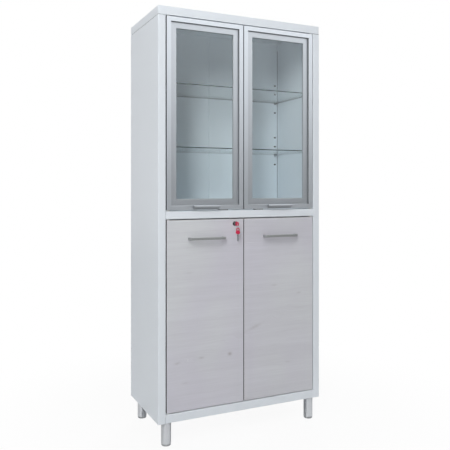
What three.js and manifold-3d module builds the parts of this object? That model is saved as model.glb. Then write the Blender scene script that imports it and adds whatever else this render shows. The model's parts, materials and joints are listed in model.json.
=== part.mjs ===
// Two-bay clinic cabinet: a folded steel carcass on four round legs,
// a pair of glazed aluminium-framed doors above and a pair of laminate doors below.
// Millimetres, +Z up: x runs left to right, y from the front face to the back, z up from the floor.
import * as THREE from 'three';
import { mergeVertices } from 'three/addons/utils/BufferGeometryUtils.js';
import Module from 'manifold-3d';

const wasm = await Module();
wasm.setup();

// Carcass
const WIDTH = 800;
const DEPTH = 400;
const BODY_HEIGHT = 1750;
const LEG_HEIGHT = 100;
const SHEET = 1.2; // steel sheet thickness
const BEND_RADIUS = 1.5; // inside radius of a fold
const BEND_STEPS = 3; // facets round a fold
const FIT = 0.3; // clearance between pieces that seat on each other
const STILE_WIDTH = 34; // front face of a side panel
const STILE_DEPTH = 20;
const STILE_LIP = 20; // inner lip that carries the front shelf pegs
const REAR_RETURN = 12; // flange that stops the back panels
const BACK_RECESS = 13; // back panel's face, measured in from the rear
const CAP_LIP = 36;
const CAP_CORNER_RADIUS = 6;
const CAP_EDGE_RADIUS = 2;
const CAP_SEAM = 0.9; // shadow line between the cap's lip and the sides
const CAP_FLANGE = 24; // return under the cap's front lip, which carries the top pins
const DIVIDER_LIP = 34;
const DIVIDER_RETURN = 18; // the lock's cam turns up behind it
const TRAY_LIP = 37;
const TRAY_RETURN = 62; // the legs bolt to it

// Doors
const DOOR_GAP = 4;
const LOWER_DOOR_HEIGHT = 810;
const LOWER_DOOR_THICKNESS = 16;
const PIVOT_INSET_X = 8; // hinge pin, from the door's hinge edge
const PIVOT_Y = 8; // hinge pin, from the front face
const PIN_RADIUS = 3;
const PIN_COLLAR_RADIUS = 6;
const PIN_IN_DOOR = 14;
const PIN_IN_CARCASS = 9;
const FRAME_DEPTH = 22;
const RIM_WIDTH = 20; // raised outer band of the frame profile
const FIELD_WIDTH = 26; // recessed inner band of the frame profile
const FIELD_RECESS = 9;
const FIELD_THICKNESS = 5;
const PROFILE_WALL = 2;
const GLASS_THICKNESS = 4;
const GLASS_OVERLAP = 10; // glass held inside the profile
const REAR_BEAD = 6; // how far the profile's rear lip covers the glass

// Pulls and handles
const PULL_LENGTH = 122;
const PULL_REACH = 15;
const PULL_HEIGHT = 18;
const PULL_LIP = 11;
const PULL_SHEET = 1.8;
const PULL_BEND_RADIUS = 3;
const PULL_ABOVE_EDGE = 2; // above the door's lower edge
const HANDLE_LENGTH = 168;
const HANDLE_REACH = 28;
const HANDLE_BAR = 8; // bar thickness, front to back
const HANDLE_HEIGHT = 11;
const HANDLE_DROP = 81; // handle centre below the door's top edge
const HANDLE_CORNER_RADIUS = 5;
const HANDLE_INNER_RADIUS = 2;

// Lock and keys
const LOCK_FROM_MEETING_EDGE = 43.5;
const LOCK_DROP = 21; // lock axis below the door's top edge
const ROSETTE_RADIUS = 9.5;
const ROSETTE_THICKNESS = 2.5;
const BARREL_RADIUS = 8;
const BARREL_BEHIND_DOOR = 3.6;
const NUT_RADIUS = 11; // to the corners
const NUT_SIDES = 6;
const PLUG_RADIUS = 5;
const PLUG_TAIL = 5.6; // square that carries the cam
const CAM_LENGTH = 31;
const CAM_WIDTH = 14;
const CAM_THICKNESS = 2.2;
const KEY_BOW_LENGTH = 29;
const KEY_BOW_RADIUS = 12; // wide end of the bow, towards the blade
const KEY_EYE_RADIUS = 8; // narrow end of the bow, round the ring's hole
const KEY_BOW_THICKNESS = 3.2;
const KEY_HOLE_RADIUS = 4.5;
const KEY_STANDOFF = 12; // bow clear of the door's face
const KEY_BLADE_LENGTH = 32;
const KEY_BLADE_WIDTH = 6.4;
const KEY_BLADE_THICKNESS = 1.8;
const KEY_CUT_DEPTHS = [1.4, 0.8, 2, 1.1]; // notches of the bit, from the tip on
const KEY_CUT_PITCH = 4;
const RING_RADIUS = 9; // to the middle of the wire
const RING_WIRE_RADIUS = 0.7;
const RING_WIRE_SIDES = 6;
const RING_HANG = 3.1; // wire below the middle of the key's hole
const RING_TURN = THREE.MathUtils.degToRad(35); // the ring's plane, turned from the front

// Catches, shelves, pegs, legs
const CATCH_FROM_CENTRE = 88;
const CATCH_LENGTH = 44;
const CATCH_DEPTH = 18;
const CATCH_HEIGHT = 14;
const CATCH_BASE = 3;
const CATCH_HOUSING_LENGTH = 30;
const STRIKE_ROOM = 0.9; // thickness left for the strike plate on the door
const GLASS_SHELF_HEIGHTS = [269.5, 543.5]; // peg slots, above the divider
const STEEL_SHELF_HEIGHT = 405; // peg slot, above the tray
const GLASS_SHELF_THICKNESS = 5;
const STEEL_SHELF_LIP = 25;
const STEEL_SHELF_RETURN = 12;
const SHELF_FRONT = 40;
const SHELF_SIDE_CLEARANCE = 1.5;
const SHELF_REAR_CLEARANCE = 1;
const PEG_PITCH = 47.5;
const PEG_SLOT_STEPS = [-1, 0, 1, 2]; // slots round each shelf, in pitches
const PEG_REAR_INSET = 17; // rear peg slots, from the side's outer face
const PEG_TAB_WIDTH = 8.4;
const PEG_TAB_HEIGHT = 4;
const PEG_TAB_LENGTH = 7;
const PEG_WIDTH = 12;
const PEG_FOOT = 4; // lower edge below the tab's middle
const PEG_NOSE = 2.2; // thickness at the tip
const PEG_UNDER_SHELF = 14;
const PEG_PLATE = 2.5;
const LEG_RADIUS = 21;
const LEG_WALL = 1.5;
const LEG_END_PLATE = 5;
const LEG_FROM_SIDE = 44.5;
const LEG_FROM_FRONT = 27;
const LEG_FROM_BACK = 37;
const STUD_RADIUS = 5;
const STUD_LENGTH = 14;
const FOOT_HEIGHT = 8;
const FOOT_RADIUS = 20;
const FOOT_EDGE_RADIUS = 3;
const FOOT_EDGE_STEPS = [0, 0.5, 1]; // points of its quarter round, in quarter turns
const FOOT_STEM_RADIUS = 4.7;
const FOOT_STEM_LENGTH = 20;

// Facets round a whole turn and along a drawn arc
const SIDES_SMALL = 12;
const SIDES_ROUND = 24;
const ARC_FACETS = 6;

const WELD_DISTANCE = 1e-3; // vertices closer than this are one

// Places worked out from the sizes above
const HALF_WIDTH = WIDTH / 2;
const SIDE_INNER_X = HALF_WIDTH - SHEET;
const PANEL_X = SIDE_INNER_X - FIT; // edge of a panel that fits between the sides
const STILE_X = HALF_WIDTH - STILE_WIDTH;
const BODY_BOTTOM = LEG_HEIGHT;
const BODY_TOP = LEG_HEIGHT + BODY_HEIGHT;
const CAP_BOTTOM = BODY_TOP - CAP_LIP;
const TRAY_TOP = BODY_BOTTOM + TRAY_LIP;
const LOWER_DOOR_BOTTOM = TRAY_TOP + DOOR_GAP;
const LOWER_DOOR_TOP = LOWER_DOOR_BOTTOM + LOWER_DOOR_HEIGHT;
const DIVIDER_BOTTOM = LOWER_DOOR_TOP + DOOR_GAP;
const DIVIDER_TOP = DIVIDER_BOTTOM + DIVIDER_LIP;
const UPPER_DOOR_BOTTOM = DIVIDER_TOP + DOOR_GAP;
const UPPER_DOOR_TOP = CAP_BOTTOM - DOOR_GAP;
const BACK_FACE = DEPTH - BACK_RECESS;
const PANEL_BACK = BACK_FACE - FIT;
// A back panel's flanges stop clear of the side's rear fold and the cap's rounded corner.
const BACK_FLANGE_END = DEPTH - Math.max(SHEET + BEND_RADIUS, CAP_CORNER_RADIUS);
const DOOR_HINGE_X = STILE_X - DOOR_GAP;
const DOOR_MEET_X = DOOR_GAP / 2;
const DOOR_MIDDLE_X = (DOOR_HINGE_X + DOOR_MEET_X) / 2;
const PIVOT_X = DOOR_HINGE_X - PIVOT_INSET_X;
const PIN_HOLE_RADIUS = PIN_RADIUS + FIT;
const FRAME_FACE = RIM_WIDTH + FIELD_WIDTH;
const GLASS_FRONT = FIELD_RECESS + FIELD_THICKNESS + FIT;
const GLASS_BACK = GLASS_FRONT + GLASS_THICKNESS;
const SLOT_BOTTOM = FRAME_FACE - GLASS_OVERLAP - FIT;
const LOCK_X = -(DOOR_MEET_X + LOCK_FROM_MEETING_EDGE);
const LOCK_Z = LOWER_DOOR_TOP - LOCK_DROP;
const BARREL_BACK = LOWER_DOOR_THICKNESS + BARREL_BEHIND_DOOR;
const CAM_FRONT = BARREL_BACK + FIT;
const CAM_BACK = CAM_FRONT + CAM_THICKNESS;
const KEY_END_Y = -(KEY_STANDOFF + KEY_BOW_LENGTH);
const KEY_HOLE_Y = KEY_END_Y + KEY_EYE_RADIUS;
const RING_TOP_Z = LOCK_Z - RING_HANG;
const RING_BOTTOM_Z = RING_TOP_Z - 2 * RING_RADIUS;
const SPARE_HOLE_Z = RING_BOTTOM_Z - RING_HANG;
const SPARE_REACH = KEY_BOW_RADIUS * Math.cos(RING_TURN) + (KEY_BOW_THICKNESS / 2) * Math.sin(RING_TURN);
const FRONT_REACH = Math.max(HANDLE_REACH + FIT, -KEY_END_Y, SPARE_REACH - KEY_HOLE_Y);
const SHELF_X = SIDE_INNER_X - SHELF_SIDE_CLEARANCE;
const SHELF_BACK = BACK_FACE - SHELF_REAR_CLEARANCE;
const PEG_TOP = PEG_TAB_HEIGHT / 2; // supporting face, level with the top of the tab
const SHELF_ABOVE_PEG = PEG_TOP + FIT;
const PEG_FRONT_X = STILE_X + STILE_LIP / 2;
const PEG_REAR_X = HALF_WIDTH - PEG_REAR_INSET;
const PEG_FRONT_REACH = SHELF_FRONT - STILE_DEPTH + PEG_UNDER_SHELF;
const PEG_REAR_REACH = SHELF_REAR_CLEARANCE + PEG_UNDER_SHELF;
const LEG_X = HALF_WIDTH - LEG_FROM_SIDE;
const LEG_REAR_Y = DEPTH - LEG_FROM_BACK;
const CUT_MARGIN = 1; // how far a cutting tool runs past the faces it cuts

const SIDES = [
  { name: 'left', sign: -1 },
  { name: 'right', sign: 1 },
];

// Finishes
const FINISHES = {
  whiteSteel: { color: 0xdfe3e6, roughness: 0.45, metalness: 0.0 },
  aluminium: { color: 0xb9bec1, roughness: 0.35, metalness: 0.9 },
  glass: { color: 0xa9c4c2, roughness: 0.05, metalness: 0.0, transparent: true, opacity: 0.35 },
  laminate: { color: 0xbdbbb8, roughness: 0.6, metalness: 0.0 },
  satinNickel: { color: 0xa9abad, roughness: 0.3, metalness: 1.0 },
  chrome: { color: 0xc9ccce, roughness: 0.15, metalness: 1.0 },
  whitePlastic: { color: 0xe6e6e2, roughness: 0.5, metalness: 0.0 },
  darkPlastic: { color: 0x3b3d3f, roughness: 0.6, metalness: 0.0 },
  greyPlastic: { color: 0x8b8e90, roughness: 0.6, metalness: 0.0 },
  redPlastic: { color: 0xc3202c, roughness: 0.4, metalness: 0.0 },
};

const root = new THREE.Group();
const cabinet = new THREE.Group();
// The origin is under the middle of the whole outline, with the keys that stand out in front.
cabinet.position.y = (FRONT_REACH - DEPTH) / 2;
root.add(cabinet);

function addPiece(name, geometry, finish) {
  const mesh = new THREE.Mesh(welded(geometry), new THREE.MeshStandardMaterial(FINISHES[finish]));
  mesh.name = name;
  cabinet.add(mesh);
}

// Merges shared vertices, drops triangles of no area and turns the faces outwards.
function welded(geometry) {
  const bare = new THREE.BufferGeometry();
  bare.setAttribute('position', geometry.getAttribute('position').clone());
  if (geometry.index) bare.setIndex(geometry.index.clone());
  const merged = mergeVertices(bare, WELD_DISTANCE);
  const index = merged.index.array;
  const points = merged.getAttribute('position');
  const kept = [];
  const [a, b, c] = [new THREE.Vector3(), new THREE.Vector3(), new THREE.Vector3()];
  let volume = 0;
  for (let i = 0; i < index.length; i += 3) {
    const [ia, ib, ic] = index.slice(i, i + 3);
    if (ia === ib || ib === ic || ic === ia) continue;
    kept.push([ia, ib, ic]);
    a.fromBufferAttribute(points, ia);
    b.fromBufferAttribute(points, ib);
    c.fromBufferAttribute(points, ic);
    volume += a.dot(b.cross(c));
  }
  const outward = volume < 0 ? kept.map((triangle) => triangle.reverse()) : kept;
  merged.setIndex(outward.flat());
  merged.computeVertexNormals();
  return merged;
}

// Booleans
function toSolid(geometry) {
  const mesh = welded(geometry);
  return new wasm.Manifold(new wasm.Mesh({
    numProp: 3,
    vertProperties: new Float32Array(mesh.getAttribute('position').array),
    triVerts: new Uint32Array(mesh.index.array),
  }));
}

function toGeometry(solid) {
  const { vertProperties, triVerts } = solid.getMesh();
  const geometry = new THREE.BufferGeometry();
  geometry.setAttribute('position', new THREE.BufferAttribute(vertProperties, 3));
  geometry.setIndex(new THREE.BufferAttribute(triVerts, 1));
  return geometry;
}

function cut(base, tools) {
  return toGeometry(tools.reduce((solid, tool) => solid.subtract(toSolid(tool)), toSolid(base)));
}

function join(base, others) {
  return toGeometry(others.reduce((solid, other) => solid.add(toSolid(other)), toSolid(base)));
}

function common(base, other) {
  return toGeometry(toSolid(base).intersect(toSolid(other)));
}

// Basic forms
function box([x0, x1], [y0, y1], [z0, z1]) {
  const geometry = new THREE.BoxGeometry(x1 - x0, y1 - y0, z1 - z0);
  return geometry.translate((x0 + x1) / 2, (y0 + y1) / 2, (z0 + z1) / 2);
}

function extrude(shape, length, bevel = {}) {
  const plain = { depth: length, bevelEnabled: false, curveSegments: ARC_FACETS };
  return new THREE.ExtrudeGeometry(shape, { ...plain, ...bevel });
}

// A turn that takes the x, y and z axes to the given ways.
function basis(...ways) {
  return new THREE.Matrix4().makeBasis(...ways.map((way) => new THREE.Vector3(...way)));
}

// A shape drawn in (x, y), carried up z.
function alongZ(shape, [z0, z1]) {
  return extrude(shape, z1 - z0).translate(0, 0, z0);
}

// A shape drawn in (y, z), carried along x.
function alongX(shape, [x0, x1]) {
  return extrude(shape, x1 - x0).applyMatrix4(basis([0, 1, 0], [0, 0, 1], [1, 0, 0])).translate(x0, 0, 0);
}

// A shape drawn in (x, z), carried along y.
function alongY(shape, [y0, y1]) {
  return extrude(shape, y1 - y0).applyMatrix4(basis([1, 0, 0], [0, 0, 1], [0, -1, 0])).translate(0, y1, 0);
}

function rod(radius, axis, [from, to], [u, v], sides = SIDES_SMALL) {
  const geometry = new THREE.CylinderGeometry(radius, radius, to - from, sides);
  const middle = (from + to) / 2;
  if (axis === 'z') return geometry.rotateX(Math.PI / 2).translate(u, v, middle);
  return geometry.translate(u, middle, v);
}

// A profile of [radius, height] points turned about z.
function turnedAboutZ(profile, sides) {
  const points = profile.map(([radius, height]) => new THREE.Vector2(radius, height));
  return new THREE.LatheGeometry(points, sides).rotateX(Math.PI / 2);
}

// A profile of [radius, y] points turned about y.
function turnedAboutY(profile, sides) {
  return new THREE.LatheGeometry(profile.map(([radius, y]) => new THREE.Vector2(radius, y)), sides);
}

function polygon(points) {
  return new THREE.Shape(points.map(([x, y]) => new THREE.Vector2(x, y)));
}

function roundedRectangle([x0, x1], [y0, y1], radius) {
  const shape = new THREE.Shape();
  shape.absarc(x1 - radius, y0 + radius, radius, -Math.PI / 2, 0);
  shape.absarc(x1 - radius, y1 - radius, radius, 0, Math.PI / 2);
  shape.absarc(x0 + radius, y1 - radius, radius, Math.PI / 2, Math.PI);
  shape.absarc(x0 + radius, y0 + radius, radius, Math.PI, Math.PI * 1.5);
  return shape;
}

// The section of a folded sheet. The points follow one face; the sheet lies to the left of them.
function foldedSheet(points, thickness = SHEET, insideRadius = BEND_RADIUS) {
  const corners = points.map(([x, y]) => new THREE.Vector2(x, y));
  const toLeft = (way) => new THREE.Vector2(-way.y, way.x);
  const wayTo = (i) => corners[i].clone().sub(corners[i - 1]).normalize();
  const face = [];
  const back = [];
  corners.forEach((corner, i) => {
    if (i === 0 || i === corners.length - 1) {
      const way = wayTo(Math.max(i, 1));
      face.push(corner);
      back.push(corner.clone().addScaledVector(toLeft(way), thickness));
      return;
    }
    const before = wayTo(i);
    const after = wayTo(i + 1);
    const turn = Math.atan2(before.cross(after), before.dot(after));
    const side = Math.sign(turn);
    const faceRadius = side > 0 ? insideRadius + thickness : insideRadius;
    const backRadius = side > 0 ? insideRadius : insideRadius + thickness;
    const start = corner.clone().addScaledVector(before, -faceRadius * Math.tan(Math.abs(turn) / 2));
    const centre = start.clone().addScaledVector(toLeft(before), side * faceRadius);
    const from = start.clone().sub(centre).angle();
    for (let step = 0; step <= BEND_STEPS; step++) {
      const angle = from + (turn * step) / BEND_STEPS;
      const spoke = new THREE.Vector2(Math.cos(angle), Math.sin(angle));
      face.push(centre.clone().addScaledVector(spoke, faceRadius));
      back.push(centre.clone().addScaledVector(spoke, backRadius));
    }
  });
  return new THREE.Shape([...face, ...back.reverse()]);
}

// Mirrors a sheet's points to the given side and keeps the sheet's thickness inside.
function handed(points, sign) {
  return sign < 0 ? points : points.map(([x, y]) => [-x, y]).reverse();
}

// Shelf pegs
const GLASS_PEG_HEIGHTS = GLASS_SHELF_HEIGHTS.map((height) => DIVIDER_TOP + height);
const STEEL_PEG_HEIGHT = TRAY_TOP + STEEL_SHELF_HEIGHT;

// A flat tab in a wall or, with room round it, the slot that takes it.
function pegTab(x, ends, z, room = 0) {
  const halfWidth = PEG_TAB_WIDTH / 2 + room;
  const halfHeight = PEG_TAB_HEIGHT / 2 + room;
  return box([x - halfWidth, x + halfWidth], ends, [z - halfHeight, z + halfHeight]);
}

// Slots round each shelf; the steel shelf's own slot is taken up by the peg that is part of the panel.
function pegSlots(x, ends) {
  const rows = (home) => PEG_SLOT_STEPS.map((step) => home + step * PEG_PITCH);
  const steelRows = rows(STEEL_PEG_HEIGHT).filter((height) => height !== STEEL_PEG_HEIGHT);
  const heights = [...GLASS_PEG_HEIGHTS.flatMap(rows), ...steelRows];
  return heights.map((height) => pegTab(x, ends, height, FIT));
}

// A gusseted peg that stands off a wall face at y, towards the given way, with the middle of its tab at z.
function pegBracket(x, y, way, z, reach) {
  const section = polygon([
    [y, z - PEG_FOOT],
    [y + way * PEG_PLATE, z - PEG_FOOT],
    [y + way * reach, z + PEG_TOP - PEG_NOSE],
    [y + way * reach, z + PEG_TOP],
    [y, z + PEG_TOP],
  ]);
  return alongX(section, [x - PEG_WIDTH / 2, x + PEG_WIDTH / 2]);
}

function peg(x, wall, way, z, reach) {
  const ends = [wall - way * PEG_TAB_LENGTH, wall + way * (FIT + PEG_PLATE / 2)].sort((p, q) => p - q);
  return join(pegBracket(x, wall + way * FIT, way, z, reach), [pegTab(x, ends, z)]);
}

function addGlassShelfPegs() {
  ['lower', 'upper'].forEach((shelf, i) => {
    for (const { name, sign } of SIDES) {
      const height = GLASS_PEG_HEIGHTS[i];
      const front = peg(sign * PEG_FRONT_X, STILE_DEPTH, 1, height, PEG_FRONT_REACH);
      const rear = peg(sign * PEG_REAR_X, BACK_FACE, -1, height, PEG_REAR_REACH);
      addPiece(`shelf_peg_${shelf}_front_${name}`, front, 'satinNickel');
      addPiece(`shelf_peg_${shelf}_rear_${name}`, rear, 'satinNickel');
    }
  });
}

// Carcass panels
function addSidePanel({ name, sign }) {
  const section = foldedSheet(handed([
    [-HALF_WIDTH + REAR_RETURN, DEPTH],
    [-HALF_WIDTH, DEPTH],
    [-HALF_WIDTH, 0],
    [-STILE_X, 0],
    [-STILE_X, STILE_DEPTH],
    [-STILE_X - STILE_LIP, STILE_DEPTH],
  ], sign));
  const panel = alongZ(section, [BODY_BOTTOM, CAP_BOTTOM - CAP_SEAM]);
  const lip = [STILE_DEPTH - SHEET - CUT_MARGIN, STILE_DEPTH + CUT_MARGIN];
  const drilled = cut(panel, pegSlots(sign * PEG_FRONT_X, lip));
  const bracketFoot = STILE_DEPTH - SHEET / 2;
  const bracketReach = PEG_FRONT_REACH + SHEET / 2;
  const bracket = pegBracket(sign * PEG_FRONT_X, bracketFoot, 1, STEEL_PEG_HEIGHT, bracketReach);
  addPiece(`side_panel_${name}`, join(drilled, [bracket]), 'whiteSteel');
}

function addBackPanel({ name, sign }) {
  const section = foldedSheet(handed([
    [-PANEL_X, BACK_FLANGE_END],
    [-PANEL_X, BACK_FACE],
    [-FIT / 2, BACK_FACE],
    [-FIT / 2, BACK_FLANGE_END],
  ], sign));
  const panel = alongZ(section, [BODY_BOTTOM, BODY_TOP - SHEET - FIT]);
  const web = [BACK_FACE - CUT_MARGIN, BACK_FACE + SHEET + CUT_MARGIN];
  const drilled = cut(panel, pegSlots(sign * PEG_REAR_X, web));
  const bracketFoot = BACK_FACE + SHEET / 2;
  const bracketReach = PEG_REAR_REACH + SHEET / 2;
  const bracket = pegBracket(sign * PEG_REAR_X, bracketFoot, -1, STEEL_PEG_HEIGHT, bracketReach);
  addPiece(`back_panel_${name}`, join(drilled, [bracket]), 'whiteSteel');
}

function pinHoles([z0, z1]) {
  return SIDES.map(({ sign }) => rod(PIN_HOLE_RADIUS, 'z', [z0, z1], [sign * PIVOT_X, PIVOT_Y]));
}

function addTopCap() {
  const plan = (inset) => roundedRectangle(
    [-HALF_WIDTH + inset, HALF_WIDTH - inset],
    [inset, DEPTH - inset],
    CAP_CORNER_RADIUS - inset,
  );
  const rolled = {
    bevelEnabled: true,
    bevelThickness: CAP_EDGE_RADIUS,
    bevelSize: CAP_EDGE_RADIUS,
    bevelSegments: BEND_STEPS,
    curveSegments: BEND_STEPS,
  };
  const below = CAP_BOTTOM - 2 * CAP_EDGE_RADIUS;
  const outerHeight = BODY_TOP - CAP_EDGE_RADIUS - below;
  const outer = extrude(plan(CAP_EDGE_RADIUS), outerHeight, rolled).translate(0, 0, below);
  const hollow = alongZ(plan(SHEET), [below - 2 * CAP_EDGE_RADIUS, BODY_TOP - SHEET]);
  const trim = box([-WIDTH, WIDTH], [-DEPTH, 2 * DEPTH], [below - 2 * CAP_EDGE_RADIUS, CAP_BOTTOM]);
  const shell = cut(outer, [hollow, trim]);
  const flangeX = HALF_WIDTH - CAP_CORNER_RADIUS;
  const flangeZ = [CAP_BOTTOM, CAP_BOTTOM + SHEET];
  const flange = box([-flangeX, flangeX], [SHEET / 2, CAP_FLANGE], flangeZ);
  const holes = pinHoles([CAP_BOTTOM - CUT_MARGIN, CAP_BOTTOM + SHEET + CUT_MARGIN]);
  addPiece('top_cap', cut(join(shell, [flange]), holes), 'whiteSteel');
}

// Clears the stiles from the front corners of a panel that runs between them.
function stileNotches([z0, z1]) {
  return SIDES.map(({ sign }) => {
    const across = [sign * (STILE_X - FIT), sign * HALF_WIDTH].sort((p, q) => p - q);
    return box(across, [-CUT_MARGIN, STILE_DEPTH + FIT], [z0 - CUT_MARGIN, z1 + CUT_MARGIN]);
  });
}

function addDivider() {
  const section = foldedSheet([
    [PANEL_BACK, DIVIDER_BOTTOM],
    [PANEL_BACK, DIVIDER_TOP],
    [0, DIVIDER_TOP],
    [0, DIVIDER_BOTTOM],
    [DIVIDER_RETURN, DIVIDER_BOTTOM],
  ]);
  const span = [DIVIDER_BOTTOM, DIVIDER_TOP];
  const holes = pinHoles([DIVIDER_BOTTOM - CUT_MARGIN, DIVIDER_TOP + CUT_MARGIN]);
  const panel = alongX(section, [-PANEL_X, PANEL_X]);
  addPiece('divider', cut(panel, [...stileNotches(span), ...holes]), 'whiteSteel');
}

const LEG_PLACES = SIDES.flatMap(({ name, sign }) => [
  { name: `front_${name}`, x: sign * LEG_X, y: LEG_FROM_FRONT },
  { name: `rear_${name}`, x: sign * LEG_X, y: LEG_REAR_Y },
]);

function addBottomTray() {
  const section = foldedSheet([
    [PANEL_BACK - TRAY_RETURN, BODY_BOTTOM],
    [PANEL_BACK, BODY_BOTTOM],
    [PANEL_BACK, TRAY_TOP],
    [0, TRAY_TOP],
    [0, BODY_BOTTOM],
    [TRAY_RETURN, BODY_BOTTOM],
  ]);
  const studSpan = [BODY_BOTTOM - CUT_MARGIN, BODY_BOTTOM + SHEET + CUT_MARGIN];
  const studHoles = LEG_PLACES.map(({ x, y }) => rod(STUD_RADIUS + FIT, 'z', studSpan, [x, y]));
  const holes = pinHoles([TRAY_TOP - SHEET - CUT_MARGIN, TRAY_TOP + CUT_MARGIN]);
  const panel = alongX(section, [-PANEL_X, PANEL_X]);
  const tools = [...stileNotches([BODY_BOTTOM, TRAY_TOP]), ...studHoles, ...holes];
  addPiece('bottom_tray', cut(panel, tools), 'whiteSteel');
}

// Legs and their levelling feet
function addLeg({ name, x, y }) {
  const top = BODY_BOTTOM - FIT;
  const bottom = FOOT_HEIGHT + FIT;
  const bore = FOOT_STEM_RADIUS + FIT;
  const leg = turnedAboutZ([
    [0, top + STUD_LENGTH],
    [STUD_RADIUS, top + STUD_LENGTH],
    [STUD_RADIUS, top],
    [LEG_RADIUS, top],
    [LEG_RADIUS, bottom],
    [bore, bottom],
    [bore, bottom + LEG_END_PLATE],
    [LEG_RADIUS - LEG_WALL, bottom + LEG_END_PLATE],
    [LEG_RADIUS - LEG_WALL, top - LEG_END_PLATE],
    [0, top - LEG_END_PLATE],
  ], SIDES_ROUND);
  addPiece(`leg_${name}`, leg.translate(x, y, 0), 'chrome');
}

function addFoot({ name, x, y }) {
  const edge = FOOT_EDGE_RADIUS;
  const rounded = FOOT_EDGE_STEPS.map((step) => {
    const angle = (step * Math.PI) / 2;
    return [FOOT_RADIUS - edge + edge * Math.sin(angle), edge - edge * Math.cos(angle)];
  });
  const foot = turnedAboutZ([
    [0, 0],
    ...rounded,
    [FOOT_RADIUS, FOOT_HEIGHT],
    [FOOT_STEM_RADIUS, FOOT_HEIGHT],
    [FOOT_STEM_RADIUS, FOOT_HEIGHT + FOOT_STEM_LENGTH],
    [0, FOOT_HEIGHT + FOOT_STEM_LENGTH],
  ], SIDES_ROUND);
  addPiece(`levelling_foot_${name}`, foot.translate(x, y, 0), 'greyPlastic');
}

// Hinge pins: a stem through the carcass sheet, a collar in the door gap and a stem in the door.
function addHingePin(name, sign, sheetFace, doorWay) {
  const at = (distance) => sheetFace + doorWay * distance;
  const pin = turnedAboutZ([
    [0, at(-PIN_IN_CARCASS)],
    [PIN_RADIUS, at(-PIN_IN_CARCASS)],
    [PIN_RADIUS, at(FIT)],
    [PIN_COLLAR_RADIUS, at(FIT)],
    [PIN_COLLAR_RADIUS, at(DOOR_GAP - FIT)],
    [PIN_RADIUS, at(DOOR_GAP - FIT)],
    [PIN_RADIUS, at(DOOR_GAP + PIN_IN_DOOR)],
    [0, at(DOOR_GAP + PIN_IN_DOOR)],
  ], SIDES_SMALL);
  addPiece(name, pin.translate(sign * PIVOT_X, PIVOT_Y, 0), 'whitePlastic');
}

function addHingePins() {
  for (const { name, sign } of SIDES) {
    addHingePin(`hinge_pin_upper_${name}_top`, sign, CAP_BOTTOM, -1);
    addHingePin(`hinge_pin_upper_${name}_bottom`, sign, DIVIDER_TOP, 1);
    addHingePin(`hinge_pin_lower_${name}_top`, sign, DIVIDER_BOTTOM, -1);
    addHingePin(`hinge_pin_lower_${name}_bottom`, sign, TRAY_TOP, 1);
  }
}

// Glazed doors: four mitred lengths of one hollow profile round a pane.
// The profile is drawn in (u, y): u runs in from the door's outer edge, y back from its face.
function frameSection() {
  const section = polygon([
    [0, 0],
    [RIM_WIDTH, 0],
    [RIM_WIDTH, FIELD_RECESS],
    [FRAME_FACE, FIELD_RECESS],
    [FRAME_FACE, GLASS_FRONT - FIT],
    [SLOT_BOTTOM, GLASS_FRONT - FIT],
    [SLOT_BOTTOM, GLASS_BACK + FIT],
    [SLOT_BOTTOM + REAR_BEAD, GLASS_BACK + FIT],
    [SLOT_BOTTOM + REAR_BEAD, FRAME_DEPTH],
    [0, FRAME_DEPTH],
  ]);
  const inner = RIM_WIDTH - PROFILE_WALL;
  const rear = FRAME_DEPTH - PROFILE_WALL;
  section.holes.push(new THREE.Path([
    new THREE.Vector2(PROFILE_WALL, PROFILE_WALL),
    new THREE.Vector2(PROFILE_WALL, rear),
    new THREE.Vector2(inner, rear),
    new THREE.Vector2(inner, PROFILE_WALL),
  ]));
  return section;
}

// One mitred length: its outer edge lies on u = 0 and runs from v = 0 to v = length.
function frameMember(length) {
  const bar = extrude(frameSection(), length);
  const half = FIT / 2;
  const mitre = polygon([
    [-CUT_MARGIN, half - CUT_MARGIN],
    [FRAME_FACE + CUT_MARGIN, FRAME_FACE + CUT_MARGIN + half],
    [FRAME_FACE + CUT_MARGIN, length - FRAME_FACE - CUT_MARGIN - half],
    [-CUT_MARGIN, length - half + CUT_MARGIN],
  ]);
  const slab = extrude(mitre, FRAME_DEPTH + 2 * CUT_MARGIN);
  slab.applyMatrix4(basis([1, 0, 0], [0, 0, 1], [0, -1, 0])).translate(0, FRAME_DEPTH + CUT_MARGIN, 0);
  return common(bar, slab);
}

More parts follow.
